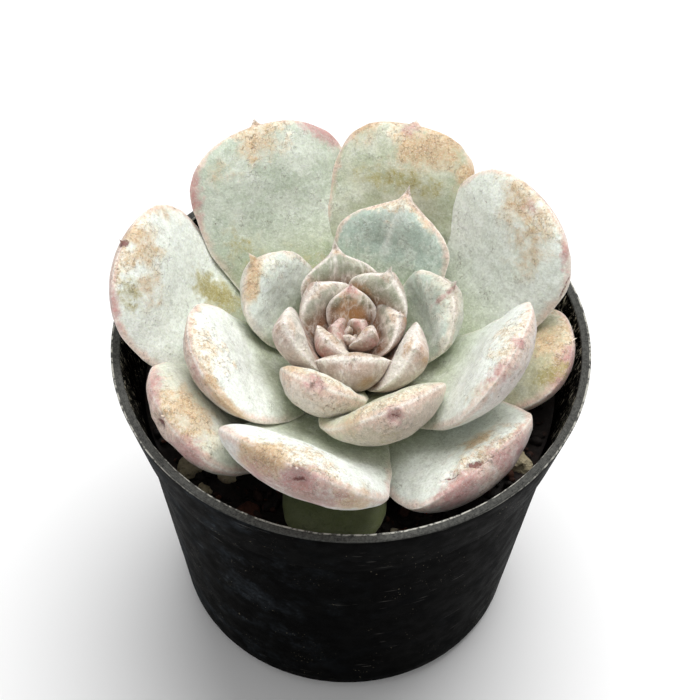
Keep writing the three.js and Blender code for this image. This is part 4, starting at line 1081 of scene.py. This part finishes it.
for age in range(HEART_LEAVES, OLDEST_LEAF + 1):
    number = age - HEART_LEAVES + 1
    looks = LEAF_LOOKS.get(age, {})
    leaf = grow_leaf(leaf_form(age), LEAF_ROWS, LEAF_HALF_RING, SEED_STEP * age, LEAF_UNDULATION, looks)
    blade = add_piece(f"leaf_blade_{number:02d}", leaf["points"], leaf_faces(leaf))
    skin_marks(leaf, looks)
    for word in SKIN_VALUES:
        keep_values(blade, word, leaf[word])
    blade.data.materials.append(leaf_skin)
    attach(blade, "root")
    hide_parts(f"leaf_{number:02d}")

# Stage: a plain white table, soft daylight from a wide window above, and the photograph's camera, which
# looks down on the pot from the front.
FOCAL_PIXELS = 1910
PICTURE_PIXELS = 700
SENSOR_WIDTH = 36
ELEVATION = 52.5
CAMERA_ROLL = 1.587
CAMERA_DISTANCE = 359.5
CAMERA_ASIDE = -0.24
CAMERA_DOWN = -1.95
TABLE_HALF = 3
DAYLIGHT = 0.42

camera_data = bpy.data.cameras.new("photo_camera")
camera_data.sensor_width = SENSOR_WIDTH
camera_data.lens = SENSOR_WIDTH * FOCAL_PIXELS / PICTURE_PIXELS
camera_data.clip_start = 0.01
camera = bpy.data.objects.new("photo_camera", camera_data)
bpy.context.scene.collection.objects.link(camera)
lean = math.radians(ELEVATION)
back = Vector((0, -math.cos(lean), math.sin(lean)))
right = Vector((1, 0, 0))
up = back.cross(right)
roll = math.radians(CAMERA_ROLL)
axis_x = right * math.cos(roll) + up * math.sin(roll)
axis_y = up * math.cos(roll) - right * math.sin(roll)
spot = Vector((0, 0, POT_HEIGHT)) + axis_x * CAMERA_ASIDE + axis_y * CAMERA_DOWN + back * CAMERA_DISTANCE
camera.matrix_world = Matrix.Translation(spot * MM) @ Matrix((axis_x, axis_y, back)).transposed().to_4x4()
bpy.context.scene.camera = camera

floor_mesh = bpy.data.meshes.new("table_top")
floor_mesh.from_pydata(
    [(TABLE_HALF * x, TABLE_HALF * y, 0) for x, y in ((-1, -1), (1, -1), (1, 1), (-1, 1))], [],
    [(0, 1, 2, 3)],
)
floor = bpy.data.objects.new("table_top", floor_mesh)
bpy.context.scene.collection.objects.link(floor)
white_table, tree, shader = new_material("white_table")
shader.inputs["Base Color"].default_value = (0.93, 0.93, 0.93, 1)
shader.inputs["Roughness"].default_value = 0.7
floor_mesh.materials.append(white_table)


def soft_light(name, place, size, power, aim=(0, 0, 0.07)):
    data = bpy.data.lights.new(name, "AREA")
    data.shape = "DISK"
    data.size = size
    data.energy = power
    light = bpy.data.objects.new(name, data)
    bpy.context.scene.collection.objects.link(light)
    light.location = place
    light.rotation_euler = (Vector(aim) - Vector(place)).to_track_quat("-Z", "Y").to_euler()


soft_light("window", place=(0.10, 0.30, 0.80), size=0.8, power=8.0)
soft_light("fill", place=(-0.5, -0.5, 0.5), size=0.6, power=0.6)
world = bpy.data.worlds.new("daylight")
world.use_nodes = True
world.node_tree.nodes["Background"].inputs["Color"].default_value = (1, 1, 1, 1)
world.node_tree.nodes["Background"].inputs["Strength"].default_value = DAYLIGHT
bpy.context.scene.world = world
bpy.context.scene.view_settings.view_transform = "Standard"
